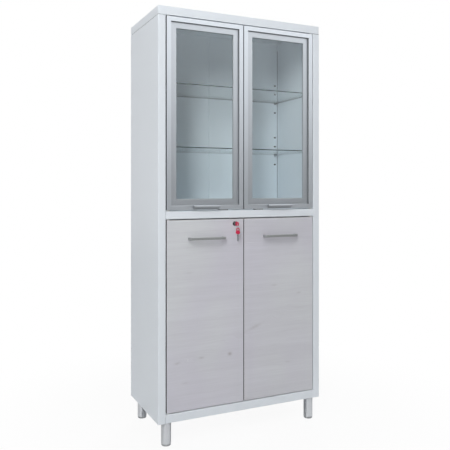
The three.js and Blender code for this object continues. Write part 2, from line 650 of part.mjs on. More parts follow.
function addGlazedDoor({ name, sign }) {
  const height = UPPER_DOOR_TOP - UPPER_DOOR_BOTTOM;
  const width = DOOR_HINGE_X - DOOR_MEET_X;
  const left = sign < 0 ? -DOOR_HINGE_X : DOOR_MEET_X;
  const right = left + width;
  const pinSpan = [UPPER_DOOR_BOTTOM - CUT_MARGIN, UPPER_DOOR_TOP + CUT_MARGIN];
  const pinHole = rod(PIN_HOLE_RADIUS, 'z', pinSpan, [sign * PIVOT_X, PIVOT_Y]);
  const drilled = (rail) => cut(rail, [pinHole]);
  const member = (length, uTo, vTo, corner) => {
    const turned = frameMember(length).applyMatrix4(basis(uTo, [0, 1, 0], vTo));
    return turned.translate(...corner);
  };
  const stileLeft = member(height, [1, 0, 0], [0, 0, 1], [left, 0, UPPER_DOOR_BOTTOM]);
  const stileRight = member(height, [-1, 0, 0], [0, 0, -1], [right, 0, UPPER_DOOR_TOP]);
  const railTop = member(width, [0, 0, -1], [1, 0, 0], [left, 0, UPPER_DOOR_TOP]);
  const railBottom = member(width, [0, 0, 1], [-1, 0, 0], [right, 0, UPPER_DOOR_BOTTOM]);
  addPiece(`frame_stile_${name}_door_left`, stileLeft, 'aluminium');
  addPiece(`frame_stile_${name}_door_right`, stileRight, 'aluminium');
  addPiece(`frame_rail_${name}_door_top`, drilled(railTop), 'aluminium');
  addPiece(`frame_rail_${name}_door_bottom`, drilled(railBottom), 'aluminium');

  const edge = SLOT_BOTTOM + FIT;
  const pane = polygon([
    [left + edge, UPPER_DOOR_BOTTOM + edge],
    [right - edge, UPPER_DOOR_BOTTOM + edge],
    [right - edge, UPPER_DOOR_TOP - edge],
    [left + edge, UPPER_DOOR_TOP - edge],
  ]);
  addPiece(`glass_pane_${name}`, alongY(pane, [GLASS_FRONT, GLASS_BACK]), 'glass');
}

// A hooked sheet along the bottom rail: the fingers go up behind its lip.
function addEdgePull({ name, sign }) {
  const bottom = UPPER_DOOR_BOTTOM + PULL_ABOVE_EDGE;
  const top = bottom + PULL_HEIGHT;
  const section = foldedSheet([
    [-PULL_REACH, top - PULL_LIP],
    [-PULL_REACH, top],
    [-FIT, top],
    [-FIT, bottom],
  ].reverse(), PULL_SHEET, PULL_BEND_RADIUS);
  const middle = sign * DOOR_MIDDLE_X;
  const pull = alongX(section, [middle - PULL_LENGTH / 2, middle + PULL_LENGTH / 2]);
  addPiece(`edge_pull_${name}`, pull, 'aluminium');
}

// Laminate doors with their bar handles
function addLaminateDoor({ name, sign }) {
  const across = [sign * DOOR_MEET_X, sign * DOOR_HINGE_X].sort((p, q) => p - q);
  const panel = box(across, [0, LOWER_DOOR_THICKNESS], [LOWER_DOOR_BOTTOM, LOWER_DOOR_TOP]);
  const pinDepth = PIN_IN_DOOR + CUT_MARGIN;
  const tools = [LOWER_DOOR_BOTTOM, LOWER_DOOR_TOP].map((edge) => {
    return rod(PIN_HOLE_RADIUS, 'z', [edge - pinDepth, edge + pinDepth], [sign * PIVOT_X, PIVOT_Y]);
  });
  if (sign < 0) {
    const through = [-CUT_MARGIN, LOWER_DOOR_THICKNESS + CUT_MARGIN];
    tools.push(rod(BARREL_RADIUS + FIT, 'y', through, [LOCK_X, LOCK_Z], SIDES_ROUND));
  }
  addPiece(`laminate_door_${name}`, cut(panel, tools), 'laminate');
}

function addBarHandle({ name, sign }) {
  const half = HANDLE_LENGTH / 2;
  const radius = HANDLE_CORNER_RADIUS;
  const bow = new THREE.Shape();
  bow.moveTo(-half, -FIT);
  bow.lineTo(-half, -HANDLE_REACH + radius);
  bow.absarc(-half + radius, -HANDLE_REACH + radius, radius, Math.PI, Math.PI * 1.5);
  bow.absarc(half - radius, -HANDLE_REACH + radius, radius, Math.PI * 1.5, Math.PI * 2);
  bow.lineTo(half, -FIT);
  const inner = half - HANDLE_BAR;
  const fillet = HANDLE_INNER_RADIUS;
  const filletY = -HANDLE_REACH + HANDLE_BAR + fillet;
  bow.lineTo(inner, -FIT);
  bow.absarc(inner - fillet, filletY, fillet, 0, -Math.PI / 2, true);
  bow.absarc(-inner + fillet, filletY, fillet, -Math.PI / 2, -Math.PI, true);
  bow.lineTo(-inner, -FIT);
  const middle = LOWER_DOOR_TOP - HANDLE_DROP;
  const handle = alongZ(bow, [middle - HANDLE_HEIGHT / 2, middle + HANDLE_HEIGHT / 2]);
  addPiece(`bar_handle_${name}`, handle.translate(sign * DOOR_MIDDLE_X, 0, 0), 'satinNickel');
}

// Cam lock: a flanged barrel with its nut, a plug that turns in it and a cam on the plug's tail.
function addLock() {
  const plugFront = -ROSETTE_THICKNESS - FIT;
  const shell = turnedAboutY([
    [0, plugFront],
    [ROSETTE_RADIUS - FIT, plugFront],
    [ROSETTE_RADIUS, -ROSETTE_THICKNESS],
    [ROSETTE_RADIUS, -FIT],
    [BARREL_RADIUS, -FIT],
    [BARREL_RADIUS, BARREL_BACK],
    [0, BARREL_BACK],
  ], SIDES_ROUND);
  const nut = rod(NUT_RADIUS, 'y', [LOWER_DOOR_THICKNESS + FIT, BARREL_BACK - FIT], [0, 0], NUT_SIDES);
  const boreSpan = [plugFront - CUT_MARGIN, BARREL_BACK + CUT_MARGIN];
  const bore = rod(PLUG_RADIUS + FIT, 'y', boreSpan, [0, 0], SIDES_ROUND);
  const barrel = cut(join(shell, [nut]), [bore]);
  addPiece('lock_barrel', barrel.translate(LOCK_X, 0, LOCK_Z), 'chrome');

  const plug = rod(PLUG_RADIUS, 'y', [plugFront, BARREL_BACK], [0, 0], SIDES_ROUND);
  const half = PLUG_TAIL / 2;
  const tail = box([-half, half], [BARREL_BACK - FIT, CAM_BACK], [-half, half]);
  const keyway = box(
    [-KEY_BLADE_THICKNESS / 2 - FIT, KEY_BLADE_THICKNESS / 2 + FIT],
    [plugFront - CUT_MARGIN, KEY_BLADE_LENGTH - KEY_STANDOFF + FIT],
    [-KEY_BLADE_WIDTH / 2 - FIT, KEY_BLADE_WIDTH / 2 + FIT],
  );
  addPiece('lock_plug', cut(join(plug, [tail]), [keyway]).translate(LOCK_X, 0, LOCK_Z), 'chrome');

  const shape = new THREE.Shape();
  shape.absarc(0, 0, CAM_WIDTH / 2, -Math.PI / 2, Math.PI / 2);
  shape.lineTo(-CAM_LENGTH, CAM_WIDTH / 2);
  shape.lineTo(-CAM_LENGTH, -CAM_WIDTH / 2);
  const square = half + FIT;
  shape.holes.push(new THREE.Path([
    new THREE.Vector2(-square, -square),
    new THREE.Vector2(-square, square),
    new THREE.Vector2(square, square),
    new THREE.Vector2(square, -square),
  ]));
  addPiece('lock_cam', alongY(shape, [CAM_FRONT, CAM_BACK]).translate(LOCK_X, 0, LOCK_Z), 'chrome');
}

// A key drawn in (u, v) with its hole's middle at the origin and its blade towards -v.
// Its bow is pear-shaped: two round ends and the straight lines that touch both.
function keySolid() {
  const tip = KEY_EYE_RADIUS - KEY_BOW_LENGTH;
  const halfBlade = KEY_BLADE_WIDTH / 2;
  const wideEnd = tip + KEY_BOW_RADIUS;
  const lean = Math.asin((KEY_BOW_RADIUS - KEY_EYE_RADIUS) / wideEnd);
  const bow = new THREE.Shape();
  bow.absarc(0, 0, KEY_EYE_RADIUS, lean, Math.PI - lean);
  bow.absarc(0, wideEnd, KEY_BOW_RADIUS, Math.PI - lean, Math.PI * 2 + lean);
  const hole = new THREE.Path();
  hole.absarc(0, 0, KEY_HOLE_RADIUS, 0, Math.PI * 2);
  bow.holes.push(hole);
  const bladeEnd = tip - KEY_BLADE_LENGTH;
  const notches = KEY_CUT_DEPTHS.flatMap((depth, i) => {
    const middle = bladeEnd + halfBlade + KEY_CUT_PITCH * (i + 0.5);
    return [
      [halfBlade, middle - depth],
      [halfBlade - depth, middle],
      [halfBlade, middle + depth],
    ];
  });
  const blade = polygon([
    [-halfBlade, tip + halfBlade],
    [-halfBlade, bladeEnd + halfBlade],
    [0, bladeEnd],
    [halfBlade, bladeEnd + halfBlade],
    ...notches,
    [halfBlade, tip + halfBlade],
  ]);
  const grip = extrude(bow, KEY_BOW_THICKNESS).translate(0, 0, -KEY_BOW_THICKNESS / 2);
  const shaft = extrude(blade, KEY_BLADE_THICKNESS).translate(0, 0, -KEY_BLADE_THICKNESS / 2);
  return join(grip, [shaft]);
}

function addKeys() {
  const inserted = keySolid().applyMatrix4(basis([0, 0, 1], [0, -1, 0], [1, 0, 0]));
  addPiece('key', inserted.translate(LOCK_X, KEY_HOLE_Y, LOCK_Z), 'redPlastic');

  const ring = new THREE.TorusGeometry(RING_RADIUS, RING_WIRE_RADIUS, RING_WIRE_SIDES, SIDES_ROUND);
  ring.rotateX(Math.PI / 2).rotateZ(RING_TURN);
  addPiece('key_ring', ring.translate(LOCK_X, KEY_HOLE_Y, RING_TOP_Z - RING_RADIUS), 'chrome');

  const across = [-Math.sin(RING_TURN), Math.cos(RING_TURN), 0];
  const wireWay = [Math.cos(RING_TURN), Math.sin(RING_TURN), 0];
  const spare = keySolid().applyMatrix4(basis(across, [0, 0, 1], wireWay));
  addPiece('spare_key', spare.translate(LOCK_X, KEY_HOLE_Y, SPARE_HOLE_Z), 'redPlastic');
}

// Magnetic catches behind the foot of each door: a low base with ears and a rounded housing.
function addCatch(name, sign, floor, doorBack) {
  const front = doorBack + STRIKE_ROOM;
  const middle = sign * CATCH_FROM_CENTRE;
  const zBase = floor + FIT;
  const ears = roundedRectangle(
    [middle - CATCH_LENGTH / 2, middle + CATCH_LENGTH / 2],
    [front, front + CATCH_DEPTH],
    CATCH_BASE,
  );
  const top = zBase + CATCH_HEIGHT;
  const housing = housingSection(front, front + CATCH_DEPTH, zBase, top);
  const halfHousing = CATCH_HOUSING_LENGTH / 2;
  const body = alongX(housing, [middle - halfHousing, middle + halfHousing]);
  addPiece(name, join(alongZ(ears, [zBase, zBase + CATCH_BASE]), [body]), 'darkPlastic');
}

// A catch housing's section in (y, z): flat in front, its rear edge sloped down.
function housingSection(front, back, bottom, top) {
  const slope = (top - bottom) / 2;
  return polygon([
    [front, bottom],
    [back, bottom],
    [back, top - slope],
    [back - slope, top],
    [front, top],
  ]);
}

function addCatches() {
  for (const { name, sign } of SIDES) {
    addCatch(`magnetic_catch_upper_${name}`, sign, DIVIDER_TOP, FRAME_DEPTH);
    addCatch(`magnetic_catch_lower_${name}`, sign, TRAY_TOP, LOWER_DOOR_THICKNESS);
  }
}

// Shelves
function addGlassShelf(name, pegHeight) {
  const bottom = pegHeight + SHELF_ABOVE_PEG;
  const plan = roundedRectangle([-SHELF_X, SHELF_X], [SHELF_FRONT, SHELF_BACK], GLASS_SHELF_THICKNESS);
  addPiece(name, alongZ(plan, [bottom, bottom + GLASS_SHELF_THICKNESS]), 'glass');
}

function addSteelShelf() {
  const bearing = STEEL_PEG_HEIGHT + SHELF_ABOVE_PEG;
  const top = bearing + SHEET;
  const lip = top - STEEL_SHELF_LIP;
  const section = foldedSheet([
    [SHELF_BACK, lip],
    [SHELF_BACK, top],
    [SHELF_FRONT, top],
    [SHELF_FRONT, lip],
    [SHELF_FRONT + STEEL_SHELF_RETURN, lip],
  ]);
  const shelf = alongX(section, [-SHELF_X, SHELF_X]);
  // The lips are notched where the pegs come in under the shelf.
  const notches = SIDES.flatMap(({ sign }) => [PEG_FRONT_X, PEG_REAR_X].map((pegX, i) => {
    const room = PEG_WIDTH / 2 + SHELF_SIDE_CLEARANCE;
    const across = [sign * pegX - room, sign * pegX + room];
    const front = [SHELF_FRONT - CUT_MARGIN, SHELF_FRONT + STEEL_SHELF_RETURN + CUT_MARGIN];
    const rear = [SHELF_BACK - SHEET - BEND_RADIUS, SHELF_BACK + CUT_MARGIN];
    return box(across, i === 0 ? front : rear, [lip - CUT_MARGIN, bearing - FIT]);
  }));
  addPiece('steel_shelf', cut(shelf, notches), 'whiteSteel');
}

SIDES.forEach(addSidePanel);
SIDES.forEach(addBackPanel);
addTopCap();
addDivider();
addBottomTray();
LEG_PLACES.forEach(addLeg);
LEG_PLACES.forEach(addFoot);
addHingePins();
SIDES.forEach(addGlazedDoor);
SIDES.forEach(addEdgePull);
SIDES.forEach(addLaminateDoor);
SIDES.forEach(addBarHandle);
addLock();
addKeys();
addCatches();
addGlassShelf('glass_shelf_lower', GLASS_PEG_HEIGHTS[0]);
addGlassShelf('glass_shelf_upper', GLASS_PEG_HEIGHTS[1]);
addSteelShelf();
addGlassShelfPegs();

export default root;
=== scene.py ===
"""Looks of a two-bay clinic cabinet: painted folded steel, glazed aluminium doors, laminate doors,
lock and legs."""

import json
import math
from functools import cache, partialmethod

import bmesh
import bpy
import numpy as np
from bpy.props import FloatProperty, FloatVectorProperty, PointerProperty
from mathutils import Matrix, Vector

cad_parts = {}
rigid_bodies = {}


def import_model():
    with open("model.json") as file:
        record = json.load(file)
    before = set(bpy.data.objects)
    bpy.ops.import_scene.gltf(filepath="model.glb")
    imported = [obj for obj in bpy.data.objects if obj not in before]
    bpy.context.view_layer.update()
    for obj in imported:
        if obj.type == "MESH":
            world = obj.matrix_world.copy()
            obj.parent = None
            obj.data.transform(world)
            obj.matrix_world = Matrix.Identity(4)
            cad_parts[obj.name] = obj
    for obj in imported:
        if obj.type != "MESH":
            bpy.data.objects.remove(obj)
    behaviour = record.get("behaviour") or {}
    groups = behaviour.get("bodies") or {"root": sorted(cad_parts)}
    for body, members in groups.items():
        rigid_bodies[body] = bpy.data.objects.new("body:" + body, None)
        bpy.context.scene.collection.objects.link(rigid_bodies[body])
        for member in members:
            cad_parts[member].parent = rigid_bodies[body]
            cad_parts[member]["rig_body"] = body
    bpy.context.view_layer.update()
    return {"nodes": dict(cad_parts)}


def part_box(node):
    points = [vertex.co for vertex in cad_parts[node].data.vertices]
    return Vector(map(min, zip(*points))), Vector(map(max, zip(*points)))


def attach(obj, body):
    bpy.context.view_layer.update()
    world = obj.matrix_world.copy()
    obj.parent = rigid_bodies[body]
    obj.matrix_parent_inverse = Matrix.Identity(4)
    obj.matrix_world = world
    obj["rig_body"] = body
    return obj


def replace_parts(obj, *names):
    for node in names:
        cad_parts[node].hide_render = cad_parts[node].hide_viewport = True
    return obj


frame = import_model()

bl_info = {
    "name": "Clinic cabinet looks",
    "version": (1, 0, 0),
    "blender": (4, 5, 0),
    "location": "3D View > Sidebar > Cabinet",
    "description": "Dresses the packed cabinet with its finishes, glazing, trim and studio stage",
    "category": "Object",
}

X, Y, Z = range(3)
MM = 0.001
SIGNS = {"left": -1, "right": 1}
HANDS = tuple(SIGNS)
TIERS = ("lower", "upper")
LEG_PLACES = ("front_left", "front_right", "rear_left", "rear_right")
SHEET_NODES = (
    "side_panel_left",
    "side_panel_right",
    "back_panel_left",
    "back_panel_right",
    "top_cap",
    "divider",
    "bottom_tray",
    "steel_shelf",
)

WELD_DISTANCE = 1e-6
LEAST_RADIUS = 1e-5
FOLD_ANGLE = math.radians(40)  # folds turn by less than this from facet to facet
EDGE_ANGLE = math.radians(30)
FACING = 0.9  # a face looks along an axis if this much of its normal lies that way
UPRIGHT = 0.5  # a face is upright if less than this of its normal points up or down
ARC_STEPS = 5
EDGE_ROWS = 4  # rows of points on a plate's rounded edge, for each face
TURN_SIDES = 64
PIN_SIDES = 32
WIRE_SIDES = 12
HEAD_ROWS, HEAD_SIDES = 12, 48  # points of a screw's head, from middle to rim and round it
CROSS_ARM, CROSS_REACH = 0.16, 0.62  # a recess's half arm and reach, as shares of the radius
CROSS_DEPTH = 0.55  # the recess's depth, as a share of the head's rise
PULL_EDGE, PULL_BEVEL = 0.3, 0.25  # roundings of the pulls, as shares of their sheet
PANEL_PLAY = 1.01  # a door's panel stops this many band thicknesses inside the door
COIL_PITCH = 1.04  # step of the split ring's two turns, in radii of its wire
FREE_PEG_SLOTS = (-1, 1, 2)  # steps from a shelf's own slot
BOW_ASPECT, BOW_EDGE = 4, 0.3  # a bow's section: width and rounding, in thicknesses
KEY_CUTS = (1.4, 0.8, 2.0, 1.1)  # depths of the blade's notches in millimetres, from the tip on
GLASS_IOR = 1.4
PULL_PAINTED_SHADE = 0.7  # painted shade: the pulls' aluminium drawn darker, as a share of the frames' tone
RECESS_PAINTED_SHADE = 0.17  # painted shade: how much darker aluminium is drawn behind the frames' rims
SENSOR_WIDTH = 36  # millimetres

# Knots of the laminate: x and z in millimetres, half length, half height, depth and the slant of
# the grain there.
KNOTS = (
    (-69, 358, 9, 7, 0.5, 0.0),
    (-204, 357, 13, 4.5, 0.26, 0.0),
    (-315, 346, 12, 5, 0.22, 0.1),
    (-281, 258, 16, 4, 0.12, 0.0),
    (-262, 725, 16, 4, 0.1, 0.0),
    (54, 464, 36, 7, 0.2, 0.36),
    (155, 645, 12, 4, 0.16, 0.0),
    (287, 601, 12, 4.5, 0.18, 0.1),
    (229, 286, 14, 4, 0.12, 0.0),
)
KNOT_REACH, KNOT_PUSH = (6, 4), 0.9  # how far in knots, and how much, a knot bends the grain
GRAIN_WANDER = 0.012  # metres that the grain wanders up and down
PRINT_STEP = 3.7  # metres up the print from the left door's piece to the right door's

# Soft lights: place, aim, width and height in metres, and whether metal and glass mirror them.
LIGHTS = {
    "key": ((-3.01, -4.3, 4.11), (0, 0, 1.2), (1.2, 3.6), False),
    "side": ((-4.4, -0.5, 2.4), (0, 0, 1.0), (2.2, 2.2), False),
    "front": ((0.27, -2.57, 4.89), (0, 0, 1.2), (2.2, 2.2), False),
    "rear": ((2.8, 4.0, 3.6), (0, 0, 1.0), (2.6, 2.6), False),
    "strip": ((-3.7, -3.3, 1.6), (0, 0, 0.9), (0.5, 2.6), True),
}
FLOOR_REACH = 9.0
FLOOR_FADE = (0.35, 1.5)  # metres from the middle, over which the floor turns to plain white
FLOOR_WHITE, FLOOR_MIRRORED = 0.93, 0.1  # share of plain white near the cabinet and in mirrors
# The room that metal and glass mirror: its tones and the heights of a ray between which they turn,
# and the depths of a ray between which it turns to the white backdrop behind the cabinet.
ROOM_LOW, ROOM_HIGH = (0.05, 0.052, 0.054), (1.6, 1.62, 1.64)
ROOM_HEIGHTS, BACKDROP_DEPTHS = (-0.05, 0.26), (0.1, 0.5)
WHITE, BLACK = (1, 1, 1), (0, 0, 0)


# Sizes and colours that a user would change


def linear(code):
    """The linear-light colour of a 24-bit display code: the display curve undone by channel."""
    shown = np.array([code >> 16 & 255, code >> 8 & 255, code & 255]) / 255
    light = np.where(shown <= 0.04045, shown / 12.92, ((shown + 0.055) / 1.055) ** 2.4)
    return tuple(light.tolist())


def length(title, millimetres, about):
    """A size property, written in millimetres and kept in metres."""
    return FloatProperty(
        name=title, description=about, default=millimetres * MM, min=0, precision=5, unit="LENGTH"
    )


def colour(title, code, about):
    """A colour property, written as a display code and kept as linear light."""
    return FloatVectorProperty(
        name=title, description=about, default=linear(code), size=3, min=0, max=1, subtype="COLOR"
    )


def amount(title, value, about, unit="NONE"):
    """A number that isn't negative, in its unit."""
    return FloatProperty(name=title, description=about, default=value, min=0, unit=unit)


class CabinetSizes(bpy.types.PropertyGroup):
    """Sizes of the modelled pieces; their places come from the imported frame."""

    fit: length("Fit", 0.3, "Clearance between pieces that seat on each other")
    sheet: length("Sheet", 1.2, "Steel sheet of the carcass")
    door_gap: length("Door gap", 4, "Gap round every door")
    shelf_gap: length("Shelf gap", 1, "Gap from the shelves to the back panels")
    seam_drop: length("Seam drop", 1.3, "Extra height of the shadow line under the cap's lip")
    # Painted shade: the seam and corner seals are dark strips for the shadow lines there.
    seam_seal: length("Seam seal", 0.3, "Thickness of the seals in seam and rear corners")
    seam_cover: length("Seam cover", 2, "How far a seam's seal reaches below the seam")
    seal_play: length("Seal play", 0.05, "Air between a seal and the sheet that it lies on")
    corner_bead: length("Corner bead", 2.2, "Width of the seals in the rear corners")
    rim: length("Frame rim", 20, "Raised outer band of the door frames")
    field_recess: length("Field recess", 9, "Step from the rim back to the field")
    field_thickness: length("Field thickness", 5, "Flange in front of the glass")
    slot_depth: length("Glass slot", 10.3, "How far a frame takes the glass in")
    slot_width: length("Slot width", 4.6, "Room for the glass between its two flanges")
    rear_bead: length("Rear bead", 6, "How far the rear flange covers the glass")
    frame_edge: length("Frame edge radius", 0.7, "Rounding of the frames' visible corners")
    glass_edge: length("Glass edge radius", 0.6, "Ground edge of the panes and shelves")
    seal_width: length("Seal width", 1.6, "Glazing seal that shows beside the field")
    seal_height: length("Seal height", 1.2, "How far the glazing seal stands on the glass")
    # Painted shade: dark strips on the doors' edges stand in for the shade in the door gaps.
    door_seal: length("Door seal", 0.35, "Thickness of the dust seals on the doors' edges")
    seal_setback: length("Seal setback", 1.2, "Dust seals behind a door's face, short of its ends")
    seal_depth: length("Seal depth", 11, "Rear edge of the door seals, from the door's face")
    pull_sheet: length("Pull sheet", 1.8, "Sheet thickness of the edge pulls")
    pull_lip: length("Pull lip", 11, "Lip that hangs at the front of the edge pulls")
    pull_bend: length("Pull bend radius", 3, "Inside radius of the edge pulls' folds")
    band: length("Edge band", 0.9, "Thickness of the band round the laminate doors")
    band_edge: length("Edge band radius", 0.4, "Rounding of the edge band")
    handle_bar: length("Handle bar", 8, "Bar of the handles, front to back")
    handle_corner: length("Handle corner radius", 5, "Outer corners of the handles")
    handle_inner: length("Handle inner radius", 2, "Inner corners of the handles")
    handle_edge: length("Handle edge radius", 1.1, "Rounding along the handles' bars")
    screw: length("Screw radius", 3.2, "Heads of the handles' screws")
    screw_rise: length("Screw rise", 1.5, "Height of the screw heads")
    lock_hole: length("Lock hole radius", 8.3, "Hole for the barrel in the left laminate door")
    rosette: length("Rosette radius", 9.5, "Rosette of the cam lock")
    rosette_rise: length("Rosette rise", 2.5, "Rosette in front of the door")
    rosette_edge: length("Rosette edge radius", 0.9, "Rim of the rosette")
    rosette_root: length("Rosette root radius", 0.2, "Where it meets the door and the barrel")
    barrel: length("Barrel radius", 8, "Threaded barrel of the cam lock")
    barrel_bore: length("Barrel bore radius", 5.3, "Bore for the plug")
    barrel_mouth: length("Barrel mouth radius", 0.4, "Front edge of the bore")
    barrel_edge: length("Barrel edge radius", 0.3, "Rear edges of the barrel")
    nut: length("Nut radius", 11, "Nut of the cam lock, across its corners")
    bow_length: length("Bow length", 29, "Bow of the keys")
    bow: length("Bow radius", 12, "Wide end of the keys' bows")
    eye: length("Eye radius", 8, "Narrow end of the keys' bows, round the ring's hole")
    bow_thickness: length("Bow thickness", 3.2, "Bow of the keys")
    bow_hole: length("Bow hole radius", 4.5, "Hole for the ring in the keys")
    blade_length: length("Blade length", 32, "Blade of the keys past the bow")
    blade_width: length("Blade width", 6.4, "Blade of the keys")
    blade_thickness: length("Blade thickness", 1.8, "Blade of the keys")
    cut_pitch: length("Key cut pitch", 4, "Step from notch to notch of the keys' blades")
    ring_wire: length("Ring wire radius", 0.34, "Wire of the split ring")
    peg_pitch: length("Peg pitch", 47.5, "Step from peg slot to peg slot")
    peg_tab: length("Peg tab width", 8.4, "Tab of a shelf peg in its slot")
    peg_tab_height: length("Peg tab height", 4, "Tab of a shelf peg in its slot")
    # Painted shade: dark cups and collars at the free slots stand in for the slots' shade.
    socket_wall: length("Socket wall", 0.8, "Wall of the blind sockets behind the peg slots")
    socket_depth: length("Socket depth", 7.5, "Depth of the blind sockets")
    collar: length("Socket collar", 1.3, "Collar of the peg sockets round a slot")
    collar_rise: length("Collar rise", 0.35, "Height of the socket collars on the back panels")
    pin: length("Pin radius", 3, "Stem of the hinge pins")
    pin_edge: length("Pin edge radius", 0.5, "Ends and collars of the hinge pins")
    pin_collar: length("Pin collar radius", 6, "Collar of the hinge pins in the door gap")
    pin_in_carcass: length("Pin in carcass", 9, "Stem of a hinge pin in the carcass")
    strike_length: length("Strike length", 34, "Strike plate of a magnetic catch")
    strike_thickness: length("Strike thickness", 0.8, "Strike plate of a magnetic catch")
    strike_corner: length("Strike corner radius", 2.5, "Corners of a strike plate")
    strike_play: length("Strike play", 0.02, "Air between a strike plate and its door")
    catch_base: length("Catch base", 3, "Height of the catches' ears")
    ear_hole: length("Ear hole", 3.5, "Screws of the catches, from the ends of their ears")
    catch_screw: length("Catch screw radius", 2.6, "Heads of the catches' screws")
    leg_edge: length("Leg edge radius", 1.0, "Rounding at the ends of the legs")
    leg_bore: length("Leg bore depth", 20, "Hole for the foot's stem")
    foot_edge: length("Foot edge radius", 3.0, "Rounding at the floor edge of the feet")
    foot_stem: length("Foot stem radius", 4.7, "Threaded stem of the feet")
    foot_height: length("Foot height", 8, "Foot below the leg")


class CabinetFinishes(bpy.types.PropertyGroup):
    """Colours of the finishes."""

    paint: colour("Paint", 0xEAF0F6, "Powder coat of the steel")
    aluminium: colour("Aluminium", 0xD0D5DB, "Anodised door frames and edge pulls")
    glass_tint: colour("Glass tint", 0xFCFEFE, "What one face of the glass lets through")
    glass_edge: colour("Glass edge", 0x253B3E, "Cut edges of the glass")
    laminate_pale: colour("Laminate, pale", 0xDCDFE2, "Pale ground of the laminate")
    laminate_lilac: colour("Laminate, lilac", 0xD7D6E0, "Lilac clouds in the laminate's ground")
    laminate_grey: colour("Laminate, grey", 0xC2C1C8, "Grey grain of the laminate")
    laminate_knot: colour("Laminate, knots", 0x857C7A, "Knots and dashes in the laminate")
    edge_band: colour("Edge band", 0xD6D5D8, "Band round the laminate doors")
    nickel: colour("Satin nickel", 0xABADAE, "Handles, pegs, strike plates, screws and lock nut")
    chrome: colour("Chrome", 0xD6D8DB, "Legs, lock plug and cam, ring and key blades")
    lock: colour("Lock", 0x55565A, "Rosette and barrel of the lock")
    white_plastic: colour("White plastic", 0xE4E4E0, "Hinge pins")
    # Painted shade: the peg slots' dark cups and the door gaps' strips; the catches are dark
    # plastic.
    dark_plastic: colour("Dark plastic", 0x2E3032, "Catches, peg sockets and the doors' dust seals")
    seal: colour("Seal", 0x9AA0A2, "Glazing seals")
    # Painted shade: this grey on the frames' steps and the carcass's strips is for their shadow
    # lines.
    rim_seal: colour("Rim seal", 0x6E7275, "Step of the door frames and the seals of the carcass")
    foot: colour("Foot", 0xB0B3B5, "Levelling feet")
    red: colour("Key red", 0xC41A45, "Bows of the keys")


class CabinetStage(bpy.types.PropertyGroup):
    """Camera, floor and light."""

    camera_place: FloatVectorProperty(
        name="Camera",
        description="Where the camera stands",
        default=(-1.20685, -2.53944, 1.08794),
        subtype="TRANSLATION",
        unit="LENGTH",
    )
    camera_turn: FloatProperty(
        name="Camera turn",
        description="Heading of the level camera",
        default=math.radians(-25.2675),
        subtype="ANGLE",
    )
    lens: amount("Lens", 47.681, "Focal length in millimetres", "CAMERA")
    rise: FloatProperty(
        name="Lens shift", description="Upward shift of the level camera", default=-0.08277
    )
    key_power: amount("Key light", 168, "Tall light beside the camera", "POWER")
    side_power: amount("Side light", 29, "Large light at the left", "POWER")
    front_power: amount("Front light", 53, "High light in front", "POWER")
    rear_power: amount("Rear light", 130, "Light behind the cabinet", "POWER")
    strip_power: amount("Strip light", 16, "Narrow light that metal mirrors", "POWER")
    ambient: amount("Ambient", 0.035, "Strength of the even light from all round")
    floor: colour("Floor", 0xEEEEEE, "Pale floor")


def sizes():
    """The sizes that the user set."""
    return bpy.context.scene.cabinet_sizes


def tones():
    """The colours that the user set."""
    return bpy.context.scene.cabinet_finishes


# Surfaces worked out as arrays


def node_box(*nodes):
    """Lowest and highest corner of the named CAD nodes together, as arrays."""
    corners = np.array([[list(corner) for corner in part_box(node)] for node in nodes])
    return corners[:, 0].min(0), corners[:, 1].max(0)


def nodes_named(start):
    """The CAD nodes whose names start so, in order."""
    return sorted(node for node in frame["nodes"] if node.startswith(start))


def each(pattern, places=HANDS):
    """Place, name, lowest and highest corner of every CAD node that a pattern names."""
    for place in places:
        node = pattern.format(place)
        yield place, node, *node_box(node)


def xyz(x, y, z):
    """Points from three arrays that fit together."""
    return np.stack(np.broadcast_arrays(x, y, z), -1).astype(float)


def unit(vectors):
    """Rows of vectors brought to a length of 1."""
    return vectors / np.linalg.norm(vectors, axis=1, keepdims=True)


def round_turn(count):
    """So many angles spread evenly over a whole turn."""
    return np.linspace(0, 2 * np.pi, count, endpoint=False)


def spokes(angle):
    """Points on a circle of radius 1, at (cos a, sin a)."""
    return np.stack([np.cos(angle), np.sin(angle)], -1)


def closed(mesh, sharp):
    """Merges doubles, so that seams and poles close, turns faces outwards and keeps the edges
    that are sharper than an angle."""
    work = bmesh.new()
    work.from_mesh(mesh)
    bmesh.ops.remove_doubles(work, verts=work.verts, dist=WELD_DISTANCE)
    bmesh.ops.recalc_face_normals(work, faces=work.faces)
    work.to_mesh(mesh)
    work.free()
    mesh.shade_smooth()
    mesh.set_sharp_from_angle(angle=sharp)
    return mesh


def surface(grid, wrap=(False, True)):
    """A mesh over a grid of points: a quad between neighbours, round the end where a way wraps.
    Where the rows don't wrap, the first and the last one are filled as flat faces."""
    rows, columns = grid.shape[:2]
    index = np.arange(rows * columns).reshape(rows, columns)
    here = index if wrap[0] else index[:-1]
    above = np.roll(index, -1, 0)[: len(here)]
    quads = np.stack([here, np.roll(here, -1, 1), np.roll(above, -1, 1), above], -1)
    quads = quads if wrap[1] else quads[:, :-1]
    faces = quads.reshape(-1, 4).tolist()
    if not wrap[0]:
        faces += [index[0].tolist(), index[-1].tolist()]
    mesh = bpy.data.meshes.new("piece")
    mesh.from_pydata(grid.reshape(-1, 3).tolist(), [], faces)
    return closed(mesh, EDGE_ANGLE)


